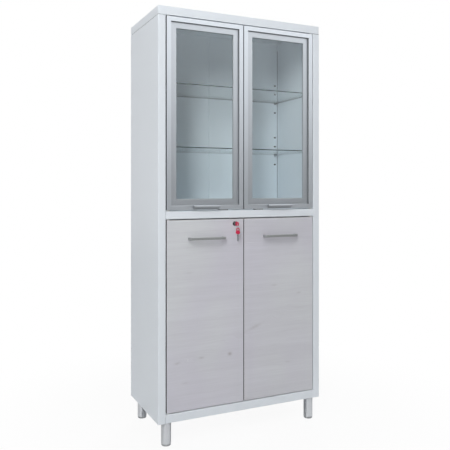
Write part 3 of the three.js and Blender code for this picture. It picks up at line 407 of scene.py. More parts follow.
def rounded(corners, radii, steps=ARC_STEPS):
    """A closed outline with an arc at each corner: the arc's centre lies on the corner's bisector,
    r / sin(half the corner's angle) away, and its spokes turn evenly from one side's square to
    the other's."""
    corners = np.asarray(corners, float)
    radii = np.maximum(np.broadcast_to(radii, len(corners)), LEAST_RADIUS)[:, None]
    back = unit(np.roll(corners, 1, 0) - corners)
    ahead = unit(np.roll(corners, -1, 0) - corners)
    half = np.arccos(np.clip((back * ahead).sum(1, keepdims=True), -1, 1)) / 2
    centre = corners + unit(back + ahead) * radii / np.sin(half)
    first = (corners + back * radii / np.tan(half) - centre)[:, None]
    last = (corners + ahead * radii / np.tan(half) - centre)[:, None]
    turn = (np.pi - 2 * half)[:, None]
    part = np.linspace(0, 1, steps + 1)[None, :, None]
    arcs = (np.sin((1 - part) * turn) * first + np.sin(part * turn) * last) / np.sin(turn)
    return (centre[:, None] + arcs).reshape(-1, 2)


def profile(*corners, steps=ARC_STEPS):
    """A closed outline through corners of (first, second, radius)."""
    table = np.array(corners, float)
    return rounded(table[:, :2], table[:, 2], steps)


def rectangle(low, high, radius, inset=0.0, steps=ARC_STEPS):
    """The rounded outline of a rectangle, drawn in by an inset."""
    (left, bottom), (right, top) = np.add(low, inset), np.subtract(high, inset)
    corners = [(left, bottom), (right, bottom), (right, top), (left, top)]
    return rounded(corners, np.subtract(radius, inset), steps)


def carried_round(low, high, thin, insets, depths, corner):
    """Rows of points: each is the outline of a plate's box, drawn in by an inset, at a depth
    along its thin axis."""
    across = [axis for axis in range(3) if axis != thin]
    low, high = np.asarray(low)[across], np.asarray(high)[across]
    loops = np.stack([rectangle(low, high, corner, inset) for inset in insets])
    grid = np.empty((*loops.shape[:2], 3))
    grid[..., across] = loops
    grid[..., thin] = np.asarray(depths)[:, None]
    return grid


def slab(low, high, thin, edge, corner):
    """A plate with rounded edges. At angle a of its quarter round, a row is drawn in by
    edge * (1 - sin a) and lies edge * (1 - cos a) behind the face; both faces are filled."""
    angle = np.linspace(0, np.pi / 2, EDGE_ROWS)
    inset = edge * (1 - np.sin(angle))
    depth = edge * (1 - np.cos(angle))
    insets = np.concatenate([inset, inset[::-1]])
    depths = np.concatenate([low[thin] + depth, high[thin] - depth[::-1]])
    return surface(carried_round(low, high, thin, insets, depths, corner))


def strip(low, high, thin):
    """A thin slab whose edges are rounded by a quarter of its thickness."""
    thickness = high[thin] - low[thin]
    return slab(low, high, thin, thickness / 4, thickness)


def hoop(low, high, thin, section, corner):
    """A closed section of (inset, depth) points carried round a plate's outline."""
    insets, depths = section.T
    return surface(carried_round(low, high, thin, insets, depths, corner), wrap=(True, True))


def between(inner, outer, shares):
    """Points at shares of the way from each point of an inner line to its fellow on an outer."""
    return inner[:, None] + (outer - inner)[:, None] * np.asarray(shares)[..., None]


def drilled_slab(low, high, hole, radius, edge):
    """A plate across y with a round hole. A ray from the hole's middle at angle t meets the hole
    at its radius and the plate's outline at the nearest side; the section between them runs over
    the front, the edge and the back."""
    sides = np.array([high[X] - hole[0], high[Z] - hole[1], low[X] - hole[0], low[Z] - hole[1]])
    corners = np.arctan2(sides[[1, 1, 3, 3]], sides[[0, 2, 2, 0]])
    ray = spokes(np.sort(np.concatenate([round_turn(TURN_SIDES) - np.pi, corners])))
    reach = np.abs(np.where(ray > 0, sides[:2], sides[2:]))
    reach = reach / np.maximum(np.abs(ray), LEAST_RADIUS)
    outer = ray * reach.min(1, keepdims=True)
    inner = ray * radius
    length_out = np.linalg.norm(outer - inner, axis=1, keepdims=True)
    shares = [np.zeros((len(ray), 1)), 1 - edge / length_out, np.ones((len(ray), 2))]
    shares = np.concatenate(shares, 1)
    flat = between(inner, outer, np.concatenate([shares, shares[:, 1::-1]], 1))
    depths = np.array([low[Y], low[Y], low[Y] + edge, high[Y] - edge, high[Y], high[Y]])
    grid = xyz(hole[0] + flat[..., 0], depths, hole[1] + flat[..., 1])
    return surface(grid, wrap=(True, True))


def round_axis(axis, centre, first, second, along):
    """Points round an axis: first and second lie across it from a centre, along lies on it."""
    grid = np.empty((*first.shape, 3))
    grid[..., (axis + 1) % 3] = centre[(axis + 1) % 3] + first
    grid[..., (axis + 2) % 3] = centre[(axis + 2) % 3] + second
    grid[..., axis] = along
    return grid


def turned(outline, centre, axis=Z, sides=TURN_SIDES, ring=False):
    """An outline of (radius, place along the axis) points turned about an axis through a centre.
    A ring's outline closes on itself; any other starts and ends on the axis."""
    radius, along = np.asarray(outline, float).T
    angle = round_turn(sides)[:, None]
    first, second = radius * np.cos(angle), radius * np.sin(angle)
    return surface(round_axis(axis, centre, first, second, along), wrap=(True, ring))


def prism(outline, axis, ends):
    """A closed outline carried straight from one end to the other along an axis."""
    grid = np.empty((2, len(outline), 3))
    grid[..., [way for way in range(3) if way != axis]] = outline
    grid[..., axis] = np.asarray(ends)[:, None]
    return surface(grid)


def screw_head(centre, axis, radius):
    """A domed head with a cross recess: at radius r and angle t it stands
    rise * (1 - (r / R)^2 / 2), less a recess that is deep where the nearer of the cross's two
    arms is close and fades towards the rim."""
    across = np.concatenate([np.linspace(0, 1, HEAD_ROWS), [1, 0]]) * radius
    angle = round_turn(HEAD_SIDES)[:, None]
    first, second = across * np.cos(angle), across * np.sin(angle)
    arm = np.minimum(np.abs(first), np.abs(second)) / (CROSS_ARM * radius)
    recess = np.exp(-(arm**4) - (across / (CROSS_REACH * radius)) ** 6)
    height = sizes().screw_rise * (1 - (across / radius) ** 2 / 2 - CROSS_DEPTH * recess)
    height[:, -2:] = 0
    grid = round_axis(axis, centre, first, second, centre[axis] + height)
    return surface(grid, wrap=(True, False))


def merged_copy(node):
    """A CAD node's shape with its loose triangles merged, so that its folds shade as rounds."""
    mesh = frame["nodes"][node].data.copy()
    mesh.materials.clear()
    if mesh.has_custom_normals:
        mesh.attributes.remove(mesh.attributes["custom_normal"])
    return closed(mesh, FOLD_ANGLE)


def lower_top(mesh, drop):
    """Brings the topmost points of a mesh down by a drop."""
    points = np.empty(len(mesh.vertices) * 3)
    mesh.vertices.foreach_get("co", points)
    heights = points[Z::3]
    heights[heights > heights.max() - WELD_DISTANCE] -= drop
    mesh.vertices.foreach_set("co", points)
    mesh.update()


def of_faces(mesh, what):
    """The normals or the centres of a mesh's faces, a row each."""
    values = np.empty(len(mesh.polygons) * 3)
    mesh.polygons.foreach_get(what, values)
    return values.reshape(-1, 3)


def give_second(mesh, marked):
    """Gives a mesh's second finish to its marked faces."""
    mesh.polygons.foreach_set("material_index", marked.astype(np.int32))


def add_piece(name, mesh, node, slot, *finishes, bevel=0.0):
    """Puts a mesh in the scene, in its finishes, on the body that a CAD node rides on."""
    mesh.name = name
    piece = bpy.data.objects.new(name, mesh)
    bpy.context.scene.collection.objects.link(piece)
    for finish in finishes:
        mesh.materials.append(finish)
    if bevel:
        rounding = piece.modifiers.new("edge rounding", "BEVEL")
        rounding.width = bevel
        rounding.segments = 2
        rounding.limit_method = "ANGLE"
        rounding.angle_limit = FOLD_ANGLE
    flats = piece.modifiers.new("level flats", "WEIGHTED_NORMAL")
    flats.keep_sharp = True
    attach(piece, frame["nodes"][node]["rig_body"])
    return piece


def stand_for(node, name, mesh, slot, *finishes, bevel=0.0):
    """Adds a piece in the place of a CAD node."""
    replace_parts(add_piece(name, mesh, node, slot, *finishes, bevel=bevel), node)


# Finishes


class Value:
    """A node's output. Arithmetic on it adds Math nodes."""

    def __init__(self, tree, socket):
        self.tree = tree
        self.socket = socket

    def operate(self, operation, *others, last=False):
        """A Math node over this value and others, with this one first or last."""
        node = self.tree.nodes.new("ShaderNodeMath")
        node.operation = operation
        for inlet, value in zip(node.inputs, (*others, self) if last else (self, *others)):
            feed(inlet, value, self.tree)
        return Value(self.tree, node.outputs[0])

    __add__ = __radd__ = partialmethod(operate, "ADD")
    __sub__ = partialmethod(operate, "SUBTRACT")
    __rsub__ = partialmethod(operate, "SUBTRACT", last=True)
    __mul__ = __rmul__ = partialmethod(operate, "MULTIPLY")
    __truediv__ = partialmethod(operate, "DIVIDE")
    __rtruediv__ = partialmethod(operate, "DIVIDE", last=True)
    __pow__ = partialmethod(operate, "POWER")
    __rpow__ = partialmethod(operate, "POWER", last=True)
    __gt__ = partialmethod(operate, "GREATER_THAN")
    __lt__ = partialmethod(operate, "LESS_THAN")
    __neg__ = partialmethod(operate, "MULTIPLY", -1)


def feed(inlet, value, tree):
    """Links a node's inlet to a value, or sets it to a number or a colour."""
    if isinstance(value, Value):
        tree.links.new(value.socket, inlet)
    else:
        inlet.default_value = value


def opaque(tone):
    """A colour with its alpha of 1, or a link as it is."""
    return tone if isinstance(tone, Value) else (*tuple(tone)[:3], 1.0)


def shaded(tone, factor):
    """A colour made lighter or darker."""
    return tuple(min(1.0, channel * factor) for channel in tuple(tone)[:3])


class Finish:
    """The nodes of a new material or world."""

    def __init__(self, name, kind="materials"):
        self.owner = getattr(bpy.data, kind).new(name)
        self.owner.use_nodes = True
        self.tree = self.owner.node_tree
        self.tree.nodes.clear()

    def node(self, kind, settings=(), sockets=(), output=0):
        """Adds a node of a kind, sets its settings and then its sockets, and returns one of its
        outputs."""
        node = self.tree.nodes.new(kind)
        for name, value in dict(settings).items():
            setattr(node, name, value)
        for name, value in dict(sockets).items():
            feed(node.inputs[name], value, self.tree)
        return Value(self.tree, node.outputs[output]) if node.outputs else None

    def spot(self):
        """Object coordinates in metres."""
        return self.node("ShaderNodeTexCoord", output="Object")

    def scaled(self, spot, scale=(1, 1, 1)):
        """Coordinates scaled along each axis."""
        return self.node("ShaderNodeMapping", {}, {"Vector": spot, "Scale": scale})

    def along(self, spot, axis):
        """The X, Y or Z of coordinates."""
        return self.node("ShaderNodeSeparateXYZ", {}, {0: spot}, axis)

    def ray(self, kind):
        """1 for rays of a kind: Camera, Glossy, Transmission or Shadow."""
        return self.node("ShaderNodeLightPath", output=f"Is {kind} Ray")

    def noise_at(self, spot, scale, detail=3.0, roughness=0.5):
        """Fractal noise from 0 to 1 at coordinates."""
        sockets = {"Vector": spot, "Scale": scale, "Detail": detail, "Roughness": roughness}
        return self.node("ShaderNodeTexNoise", {}, sockets, "Fac")

    def noise(self, scale, detail=3.0):
        """Fractal noise from 0 to 1, at one scale or at one for each axis."""
        if isinstance(scale, (int, float)):
            return self.noise_at(self.scaled(self.spot()), scale, detail)
        return self.noise_at(self.scaled(self.spot(), scale), 1, detail)

    def drawn_out(self, axis, along, across):
        """Fine lines along an axis: noise at one scale that way and a finer one across it."""
        scale = [across] * 3
        scale[axis] = along
        return self.noise(scale, 2)

    def blend(self, factor, first, second):
        """A mix of two colours; 6, 7 and output 2 are the node's sockets for colours."""
        sockets = {0: factor, 6: opaque(first), 7: opaque(second)}
        return self.node("ShaderNodeMix", {"data_type": "RGBA"}, sockets, 2)

    def shades(self, factor, tone, dark, pale):
        """A colour that varies from a darker shade of it to a paler one."""
        return self.blend(factor, shaded(tone, dark), shaded(tone, pale))

    def spread(self, value, low, high):
        """A value brought from a range to 0 to 1 with soft ends."""
        sockets = {"Value": value, "From Min": low, "From Max": high}
        return self.node("ShaderNodeMapRange", {"interpolation_type": "SMOOTHSTEP"}, sockets)

    def bump(self, height, millimetres):
        """A normal bent by a height, whose whole range is so many millimetres."""
        return self.node("ShaderNodeBump", {}, {"Height": height, "Distance": millimetres * MM})

    def principled(self, **sockets):
        """A Principled shader; socket names are written with _ for spaces."""
        named = {name.replace("_", " "): value for name, value in sockets.items()}
        named["Base Color"] = opaque(named["Base Color"])
        return self.node("ShaderNodeBsdfPrincipled", {}, named)

    def mixed(self, factor, first, second):
        """A mix of two shaders."""
        return self.node("ShaderNodeMixShader", {}, {0: factor, 1: first, 2: second})

    def ends_in(self, shader, output="ShaderNodeOutputMaterial"):
        """Ends the nodes in a shader, and returns the material or world."""
        self.node(output, {}, {"Surface": shader})
        return self.owner

    def done(self, **sockets):
        """Ends the nodes in a Principled shader."""
        return self.ends_in(self.principled(**sockets))


@cache
def painted_steel():
    """Powder coat: a cloudy tone, a fine orange-peel skin and a sheen that varies a little."""
    make = Finish("white powder coat")
    clouds = make.noise(3.5)
    skin = make.noise(620, 2)
    speck = make.noise(1900, 1)
    return make.done(
        Base_Color=make.shades(clouds * 0.7 + speck * 0.3, tones().paint, 0.965, 1.03),
        Roughness=0.36 + 0.12 * make.noise(14),
        Normal=make.bump(skin, 0.12),
    )


@cache
def brushed_aluminium(name, along, painted_shade_factor=1.0):
    """Anodised aluminium, brushed along an axis: noise drawn out a hundredfold that way. Painted
    shade: what lies behind the frames' rims is drawn darker; a factor under 1 darkens it all."""
    make = Finish(name)
    lines = make.drawn_out(along, 14, 1400)
    clouds = make.noise(6)
    face = float(node_box("frame_stile_left_door_left")[0][Y])
    depth = make.along(make.spot(), "Y") - face
    # Painted shade: faces set back behind the rims are drawn darker, for the rims' shade on them.
    painted_recess_shade = depth > sizes().field_recess / 2
    # Painted shade: a factor under 1, as for the pulls, draws the whole tone darker.
    tone = shaded(tones().aluminium, painted_shade_factor)
    metal = make.shades(lines * 0.6 + clouds * 0.4, tone, 0.86, 1.06)
    return make.done(
        Base_Color=make.blend(painted_recess_shade * RECESS_PAINTED_SHADE, metal, BLACK),
        Metallic=0.85,
        Roughness=0.24 + 0.14 * lines,
        Normal=make.bump(lines, 0.02),
    )


@cache
def satin_metal(name, tone_name, along, roughness, stretch=0.0, metallic=1.0):
    """Satin-plated metal with fine lines along an axis and faint handling marks. A stretch draws
    the highlights of a turned piece out along its axis."""
    make = Finish(name)
    lines = make.drawn_out(along, 25, 900)
    marks = make.noise(45)
    return make.done(
        Base_Color=make.shades(lines, getattr(tones(), tone_name), 0.9, 1.05),
        Metallic=metallic,
        Roughness=roughness * (0.75 + 0.3 * lines + 0.2 * marks),
        Anisotropic=stretch,
        Anisotropic_Rotation=0.25,
        Normal=make.bump(lines, 0.008),
    )


def nickel(along):
    """Satin nickel with its lines along an axis."""
    return satin_metal("satin nickel along " + "xyz"[along], "nickel", along, 0.3, metallic=0.7)


def chrome(along):
    """Bright chrome with its lines along an axis."""
    return satin_metal("chrome along " + "xyz"[along], "chrome", along, 0.17)


def leg_chrome():
    """The legs' turned chrome, whose highlights run up and down."""
    return satin_metal("turned chrome", "chrome", X, 0.5, 0.9)


@cache
def clear_glass():
    """Thin tinted glass: a mirror by the Fresnel share over a film that tints what lies behind it.
    Light isn't bent, so both faces mirror as they do from outside, and the way to a lamp stays
    clear."""
    make = Finish("float glass")
    film = make.node("ShaderNodeBsdfTransparent", {}, {"Color": opaque(tones().glass_tint)})
    smears = make.noise(9)
    mirror = make.principled(Base_Color=WHITE, Metallic=1.0, Roughness=0.01 + 0.03 * smears)
    leaving = make.node("ShaderNodeNewGeometry", output="Backfacing")
    bend = GLASS_IOR + leaving * (1 / GLASS_IOR - GLASS_IOR)
    edge_on = make.node("ShaderNodeFresnel", {}, {"IOR": bend})
    return make.ends_in(make.mixed(edge_on * (1 - make.ray("Shadow")), film, mirror))


@cache
def glass_edge():
    """Cut and ground glass edge: deep green, a little cloudy."""
    make = Finish("ground glass edge")
    clouds = make.noise((60, 60, 400))
    return make.done(
        Base_Color=make.shades(clouds, tones().glass_edge, 0.75, 1.3),
        Roughness=0.18 + 0.15 * clouds,
        Alpha=0.86 + 0.1 * clouds,
    )


@cache
def laminate():
    """Pale wood print with its grain level: noise drawn out along x for bands, streaks and fibres
    over soft clouds, dashes where a coarser noise peaks, and knots as soft ellipses that push the
    grain apart around them."""
    make = Finish("pale wood laminate")
    spot = make.spot()
    x = make.along(spot, "X")
    z = make.along(spot, "Z")
    right = x > 0
    knots = 0.0
    lift = 0.0
    for knot_x, knot_z, half_length, half_height, depth, slant in KNOTS:
        run = x - knot_x * MM
        climb = z - knot_z * MM - slant * run

        def ellipse(wide, tall):
            """1 in the knot's middle, fading out over an ellipse so many times its size."""
            across = run / (wide * half_length * MM)
            return (-(across**2) - (climb / (tall * half_height * MM)) ** 2).operate("EXPONENT")

        knots = knots + depth * ellipse(1, 1)
        lift = lift + ellipse(*KNOT_REACH) * climb * KNOT_PUSH
    wander = make.noise((1.1, 1.0, 2.2), 2) * GRAIN_WANDER
    level = z - lift + wander + right * PRINT_STEP
    grain = make.node("ShaderNodeCombineXYZ", {}, {"X": x, "Y": right, "Z": level})

    def level_grain(along, across, detail, roughness=0.55):
        """Noise along the bent grain, at one scale along it and another across it."""
        return make.noise_at(make.scaled(grain, (along, 1, across)), 1, detail, roughness)

    bands = level_grain(0.9, 11, 2)
    streaks = level_grain(2.4, 60, 4, 0.6)
    fibres = level_grain(9, 420, 2)
    dashes = make.spread(level_grain(16, 230, 1), 0.70, 0.78)
    lights = make.spread(level_grain(12, 190, 1), 0.30, 0.22)
    tone = tones()
    clouds = make.spread(make.noise((2.6, 1, 1.8), 2), 0.35, 0.65)
    ground = make.blend(clouds, tone.laminate_lilac, tone.laminate_pale)
    depth = bands * 0.5 + streaks * 0.5 + (fibres - 0.5) * 0.35 + right * 0.06
    wood = make.blend(make.spread(depth, 0.2, 0.85) * 0.6, ground, tone.laminate_grey)
    wood = make.blend(lights * 0.25, wood, shaded(tone.laminate_pale, 1.1))
    return make.done(
        Base_Color=make.blend(knots + dashes * 0.1, wood, tone.laminate_knot),
        Roughness=0.46 + 0.14 * fibres,
        Normal=make.bump(fibres * 0.6 + streaks * 0.4, 0.06),
    )


@cache
def band_finish():
    """Edge band in the laminate's tone, with level fibres."""
    make = Finish("laminate edge band")
    fibres = make.noise((20, 300, 60), 2)
    return make.done(
        Base_Color=make.shades(fibres, tones().edge_band, 0.94, 1.05),
        Roughness=0.42 + 0.1 * fibres,
    )


@cache
def plastic(name, tone_name, roughness):
    """Moulded plastic: a faint spark-eroded grain and a cloudy tone."""
    make = Finish(name)
    grain = make.noise(1500, 2)
    clouds = make.noise(70)
    tone = getattr(tones(), tone_name)
    return make.done(
        Base_Color=make.shades(clouds * 0.6 + grain * 0.4, tone, 0.88, 1.08),
        Roughness=roughness * (0.85 + 0.3 * grain),
        Normal=make.bump(grain, 0.04),
    )


def rubber(name, tone_name):
    """Dull rubber; the same finish makes the dark strips that are painted shade."""
    return plastic(name, tone_name, 0.7)


# Operators, one for each group of like pieces


class CABINET_OT_sheets(bpy.types.Operator):
    """Paint the folded steel panels, the cap, the divider, the tray and the steel shelf"""

    bl_idname = "cabinet.sheets"
    bl_label = "Steel sheets"

    def execute(self, context):
        for node in SHEET_NODES:
            mesh = merged_copy(node)
            if node.startswith("side_panel"):
                lower_top(mesh, sizes().seam_drop)
            stand_for(node, "painted_" + node, mesh, "white_steel", painted_steel())
        return {"FINISHED"}


class CABINET_OT_carcass_seals(bpy.types.Operator):
    """Model dark strips behind the cap's seam and in the rear corners of the bays: painted shade"""

    bl_idname = "cabinet.carcass_seals"
    bl_label = "Carcass seals"

    def execute(self, context):
        size = sizes()
        finish = rubber("carcass seal rubber", "rim_seal")
        cap_foot = node_box("top_cap")[0][Z]
        back = node_box("glass_shelf_lower")[1][Y] + size.shelf_gap - size.seal_play
        bays = {
            "upper": (node_box("divider")[1][Z], cap_foot),
            "lower": (node_box("bottom_tray")[1][Z], node_box("divider")[0][Z]),
        }
        for hand, node, low, high in each("side_panel_{}"):
            sign = SIGNS[hand]
            stile, wall = (low[X], high[X])[::sign]
            outer = wall - sign * (size.sheet + size.seal_play)
            inner = outer - sign * size.seam_seal
            front = low[Y] + size.sheet + size.seal_play
            stile += sign * (size.sheet + size.fit)
            outline = [
                (outer, back - size.fit),
                (outer, front),
                (stile, front),
                (stile, front + size.seam_seal),
                (inner, front + size.seam_seal),
                (inner, back - size.fit),
            ]
            # Painted shade: a dark strip behind the cap's seam, white on its faces that look into
            # the bay.
            foot = high[Z] - size.seam_drop - size.seam_cover
            mesh = prism(outline, Z, (foot, cap_foot - size.fit))
            normals = of_faces(mesh, "normal")
            give_second(mesh, (-sign * normals[:, X] > FACING) | (normals[:, Y] > FACING))
            add_piece(f"seam_seal_{hand}", mesh, node, "grey_plastic", finish, painted_steel())
            # Painted shade: dark strips in the rear corners of both bays, for the corners' shadow
            # lines.
            left, right = sorted((outer, outer - sign * size.corner_bead))
            for bay, (foot, top) in bays.items():
                corner = (left, back - size.seam_seal, foot + size.fit)
                mesh = strip(corner, (right, back, top - size.fit), Y)
                add_piece(f"corner_seal_{bay}_{hand}", mesh, node, "grey_plastic", finish)
        return {"FINISHED"}


class CABINET_OT_door_frames(bpy.types.Operator):
    """Model the four mitred lengths of aluminium profile round each pane"""

    bl_idname = "cabinet.door_frames"
    bl_label = "Door frames"

    def execute(self, context):
        for hand in HANDS:
            for pattern, along, across, far in (
                ("frame_stile_{}_door_left", Z, X, False),
                ("frame_stile_{}_door_right", Z, X, True),
                ("frame_rail_{}_door_top", X, Z, True),
                ("frame_rail_{}_door_bottom", X, Z, False),
            ):
                node = pattern.format(hand)
                mesh = self.member(node, along, across, far)
                # Painted shade: the step between rim and field gets a dark grey, for its shadow
                # line.
                self.mark_step(mesh, node, across)
                metal = brushed_aluminium("frame aluminium along " + "xyz"[along], along)
                step = rubber("step rubber", "rim_seal")
                stand_for(node, "brushed_" + node, mesh, "aluminium", metal, step)
        return {"FINISHED"}

    @staticmethod
    def section():
        """The frame's section: u in from the outer edge, y back from the face; a raised rim, a
        field set back from it and a slot that takes the glass between two flanges."""
        size = sizes()
        low, high = node_box("frame_stile_left_door_left")
        face, depth = high[X] - low[X], high[Y] - low[Y]
        slot_end = face - size.slot_depth
        slot_front = size.field_recess + size.field_thickness
        slot_back = slot_front + size.slot_width
        bead = slot_end + size.rear_bead
        edge, fine = size.frame_edge, size.frame_edge / 3
        return (0, low[Y]) + profile(
            (0, 0, edge),
            (size.rim, 0, edge),
            (size.rim, size.field_recess, fine),
            (face, size.field_recess, edge),
            (face, slot_front, fine),
            (slot_end, slot_front, fine),
            (slot_end, slot_back, fine),
            (bead, slot_back, fine),
            (bead, depth, edge),
            (0, depth, edge),
            steps=3,
        )

    def member(self, node, along, across, far):
        """The section carried along one member; a point u in from the outer edge starts and ends
        u short of the corners, so that the ends are mitred. A far member measures u from its
        high side."""
        low, high = node_box(node)
        inward, depth = self.section().T
        grid = np.empty((2, len(inward), 3))
        grid[..., Y] = depth
        grid[..., across] = high[across] - inward if far else low[across] + inward
        grid[0, :, along] = low[along] + inward
        grid[1, :, along] = high[along] - inward
        return surface(grid)

    @staticmethod
    def mark_step(mesh, node, across):
        """Gives the second finish to the wall between a member's rim and its field: it faces
        across the member and lies in front of the field."""
        field = node_box(node)[0][Y] + sizes().field_recess
        sideways = np.abs(of_faces(mesh, "normal")[:, across]) > FACING
        give_second(mesh, sideways & (of_faces(mesh, "center")[:, Y] < field))


class CABINET_OT_glazing(bpy.types.Operator):
    """Model the panes and the seals round them"""

    bl_idname = "cabinet.glazing"
    bl_label = "Panes and seals"

    def execute(self, context):
        size = sizes()
        wide, rise, play = size.seal_width, size.seal_height, size.fit / 10
        cover = size.slot_depth - size.fit
        for hand, node, low, high in each("glass_pane_{}"):
            mesh = slab(low, high, Y, size.glass_edge, size.glass_edge * 2)
            stand_for(node, f"clear_pane_{hand}", mesh, "glass", clear_glass())
            for side, near, far, hidden in (
                ("front", low[Y] - rise, low[Y] - play, cover),
                ("rear", high[Y] + play, high[Y] + rise, size.rear_bead),
            ):
                section = rectangle((hidden, near), (hidden + wide, far), rise / 4, steps=2)
                mesh = hoop(low, high, Y, section, cover + 4 * wide)
                finish = rubber("seal rubber", "seal")
                add_piece(f"glazing_seal_{hand}_{side}", mesh, node, "grey_plastic", finish)
        return {"FINISHED"}


class CABINET_OT_door_seals(bpy.types.Operator):
    """Model dark strips on the doors' upright edges and laminate tops: painted shade for the gaps
    """

    bl_idname = "cabinet.door_seals"
    bl_label = "Door seals"

    def execute(self, context):
        size = sizes()
        thick, short = size.door_seal, size.seal_setback
        for bay, patterns in (
            ("upper", ("frame_stile_{}_door_left", "frame_stile_{}_door_right")),
            ("lower", ("laminate_door_{}",)),
        ):
            for hand in HANDS:
                nodes = [pattern.format(hand) for pattern in patterns]
                low, high = node_box(*nodes)
                front, end = low[Y] + short, low[Y] + size.seal_depth
                foot, top = low[Z] + short, high[Z] - short
                strips = {
                    "left": ((low[X] - thick, front, foot), (low[X], end, top), X),
                    "right": ((high[X], front, foot), (high[X] + thick, end, top), X),
                }
                if bay == "lower":
                    pin_low, pin_high = node_box(f"hinge_pin_lower_{hand}_top")
                    start, stop = low[X], high[X]
                    if hand == "left":
                        start = pin_high[X]
                    else:
                        stop = pin_low[X]
                    corner = (start + short, front, high[Z])
                    strips["top"] = (corner, (stop - short, end, high[Z] + thick), Z)
                # Painted shade: dark strips in the door gaps.
                finish = rubber("door seal rubber", "dark_plastic")
                for side, edge in strips.items():
                    name = f"door_seal_{bay}_{hand}_{side}"
                    add_piece(name, strip(*edge), nodes[0], "dark_plastic", finish)
        return {"FINISHED"}


class CABINET_OT_edge_pulls(bpy.types.Operator):
    """Model the hooked pulls on the lower rails of the glazed doors"""

    bl_idname = "cabinet.edge_pulls"
    bl_label = "Edge pulls"

    def execute(self, context):
        size = sizes()
        sheet, bend = size.pull_sheet, size.pull_bend
        edge = PULL_EDGE * sheet
        for hand, node, low, high in each("edge_pull_{}"):
            lip = high[Z] - size.pull_lip
            outline = profile(
                (high[Y], low[Z], edge),
                (high[Y], high[Z], bend + sheet),
                (low[Y], high[Z], bend + sheet),
                (low[Y], lip, edge),
                (low[Y] + sheet, lip, edge),
                (low[Y] + sheet, high[Z] - sheet, bend),
                (high[Y] - sheet, high[Z] - sheet, bend),
                (high[Y] - sheet, low[Z], edge),
            )
            mesh = prism(outline, X, (low[X], high[X]))
            # Painted shade: the pulls are drawn in a darker copy of the frames' aluminium.
            metal = brushed_aluminium("pull aluminium", X, PULL_PAINTED_SHADE)
            name = f"brushed_edge_pull_{hand}"
            stand_for(node, name, mesh, "aluminium", metal, bevel=PULL_BEVEL * sheet)
        return {"FINISHED"}


class CABINET_OT_laminate_doors(bpy.types.Operator):
    """Model the laminate doors with their edge bands"""

    bl_idname = "cabinet.laminate_doors"
    bl_label = "Laminate doors"

    def execute(self, context):
        size = sizes()
        band, edge = size.band, size.band_edge
        room = np.array([band, 0, band]) * PANEL_PLAY
        lock_low, lock_high = node_box("lock_plug")
        lock = ((lock_low + lock_high) / 2)[[X, Z]]
        for hand, node, low, high in each("laminate_door_{}"):
            if hand == "left":
                mesh = drilled_slab(low + room, high - room, lock, size.lock_hole, edge / 2)
            else:
                mesh = slab(low + room, high - room, Y, edge / 2, edge)
            stand_for(node, f"grained_door_{hand}", mesh, "laminate", laminate())
            section = rectangle((0, low[Y]), (band, high[Y]), (edge, 0, 0, edge), steps=3)
            mesh = hoop(low, high, Y, section, 2 * band)
            add_piece(f"edge_band_{hand}", mesh, node, "laminate", band_finish())
        return {"FINISHED"}


class CABINET_OT_bar_handles(bpy.types.Operator):
    """Model the bar handles of the laminate doors and the screws behind them"""

    bl_idname = "cabinet.bar_handles"
    bl_label = "Bar handles"

    def execute(self, context):
        size = sizes()
        bar = size.handle_bar
        for hand, node, low, high in each("bar_handle_{}"):
            mesh = self.bent_bar(low, high, bar)
            stand_for(node, f"satin_handle_{hand}", mesh, "satin_nickel", nickel(X))
            door_back = node_box(f"laminate_door_{hand}")[1][Y]
            for end, x in (("inner", low[X] + bar / 2), ("outer", high[X] - bar / 2)):
                mesh = screw_head((x, door_back, (low[Z] + high[Z]) / 2), Y, size.screw)
                name = f"handle_screw_{hand}_{end}"
                add_piece(name, mesh, node, "satin_nickel", nickel(Z))
        return {"FINISHED"}

    @staticmethod
    def bent_bar(low, high, bar):
        """A rounded section of (share, height) points carried along two lines, seen from above:
        the share runs from the inner line to the outer. Each line runs out from the door, along
        the front and back, with two arcs."""
        size = sizes()

        def line(inset, corner):
            """A line so far inside the handle's outline, with its corner radius."""
            left, right, front = low[X] + inset, high[X] - inset, low[Y] + inset
            foot = high[Y]
            corners = [(left, foot), (left, front), (right, front), (right, foot)]
            return rounded(corners, [0, corner, corner, 0])[ARC_STEPS:-ARC_STEPS]

        section = rectangle((0, 0), (bar, high[Z] - low[Z]), size.handle_edge, steps=4)
        share, height = (section / (bar, 1)).T
        flat = between(line(bar, size.handle_inner), line(0, size.handle_corner), share)
        return surface(xyz(flat[..., 0], flat[..., 1], low[Z] + height))


class CABINET_OT_cam_lock(bpy.types.Operator):
    """Model the lock's rosette, barrel and nut, and finish its plug and cam"""

    bl_idname = "cabinet.cam_lock"
    bl_label = "Cam lock"

    def execute(self, context):
        size = sizes()
        node = "lock_barrel"
        low, high = node_box(node)
        centre = (low + high) / 2
        door_low, door_high = node_box("laminate_door_left")
        face = door_low[Y] - size.fit
        outline = profile(
            (size.barrel_bore, face - size.rosette_rise, size.barrel_mouth),
            (size.rosette, face - size.rosette_rise, size.rosette_edge),
            (size.rosette, face, size.rosette_root),
            (size.barrel, face, size.rosette_root),
            (size.barrel, high[Y], size.barrel_edge),
            (size.barrel_bore, high[Y], size.barrel_edge),
        )
        mesh = turned(outline, centre, Y, ring=True)
        finish = satin_metal("dark lock metal", "lock", Y, 0.5)
        stand_for(node, "lock_rosette", mesh, "chrome", finish)
        hexagon = centre[[X, Z]] + size.nut * spokes(round_turn(6))
        mesh = prism(hexagon, Y, (door_high[Y] + size.fit, high[Y] - size.fit))
        add_piece("lock_nut", mesh, node, "chrome", nickel(Y), bevel=size.fit)
        for node, name in (("lock_plug", "turned_lock_plug"), ("lock_cam", "stamped_lock_cam")):
            stand_for(node, name, merged_copy(node), "chrome", chrome(Y), bevel=size.fit / 2)
        return {"FINISHED"}


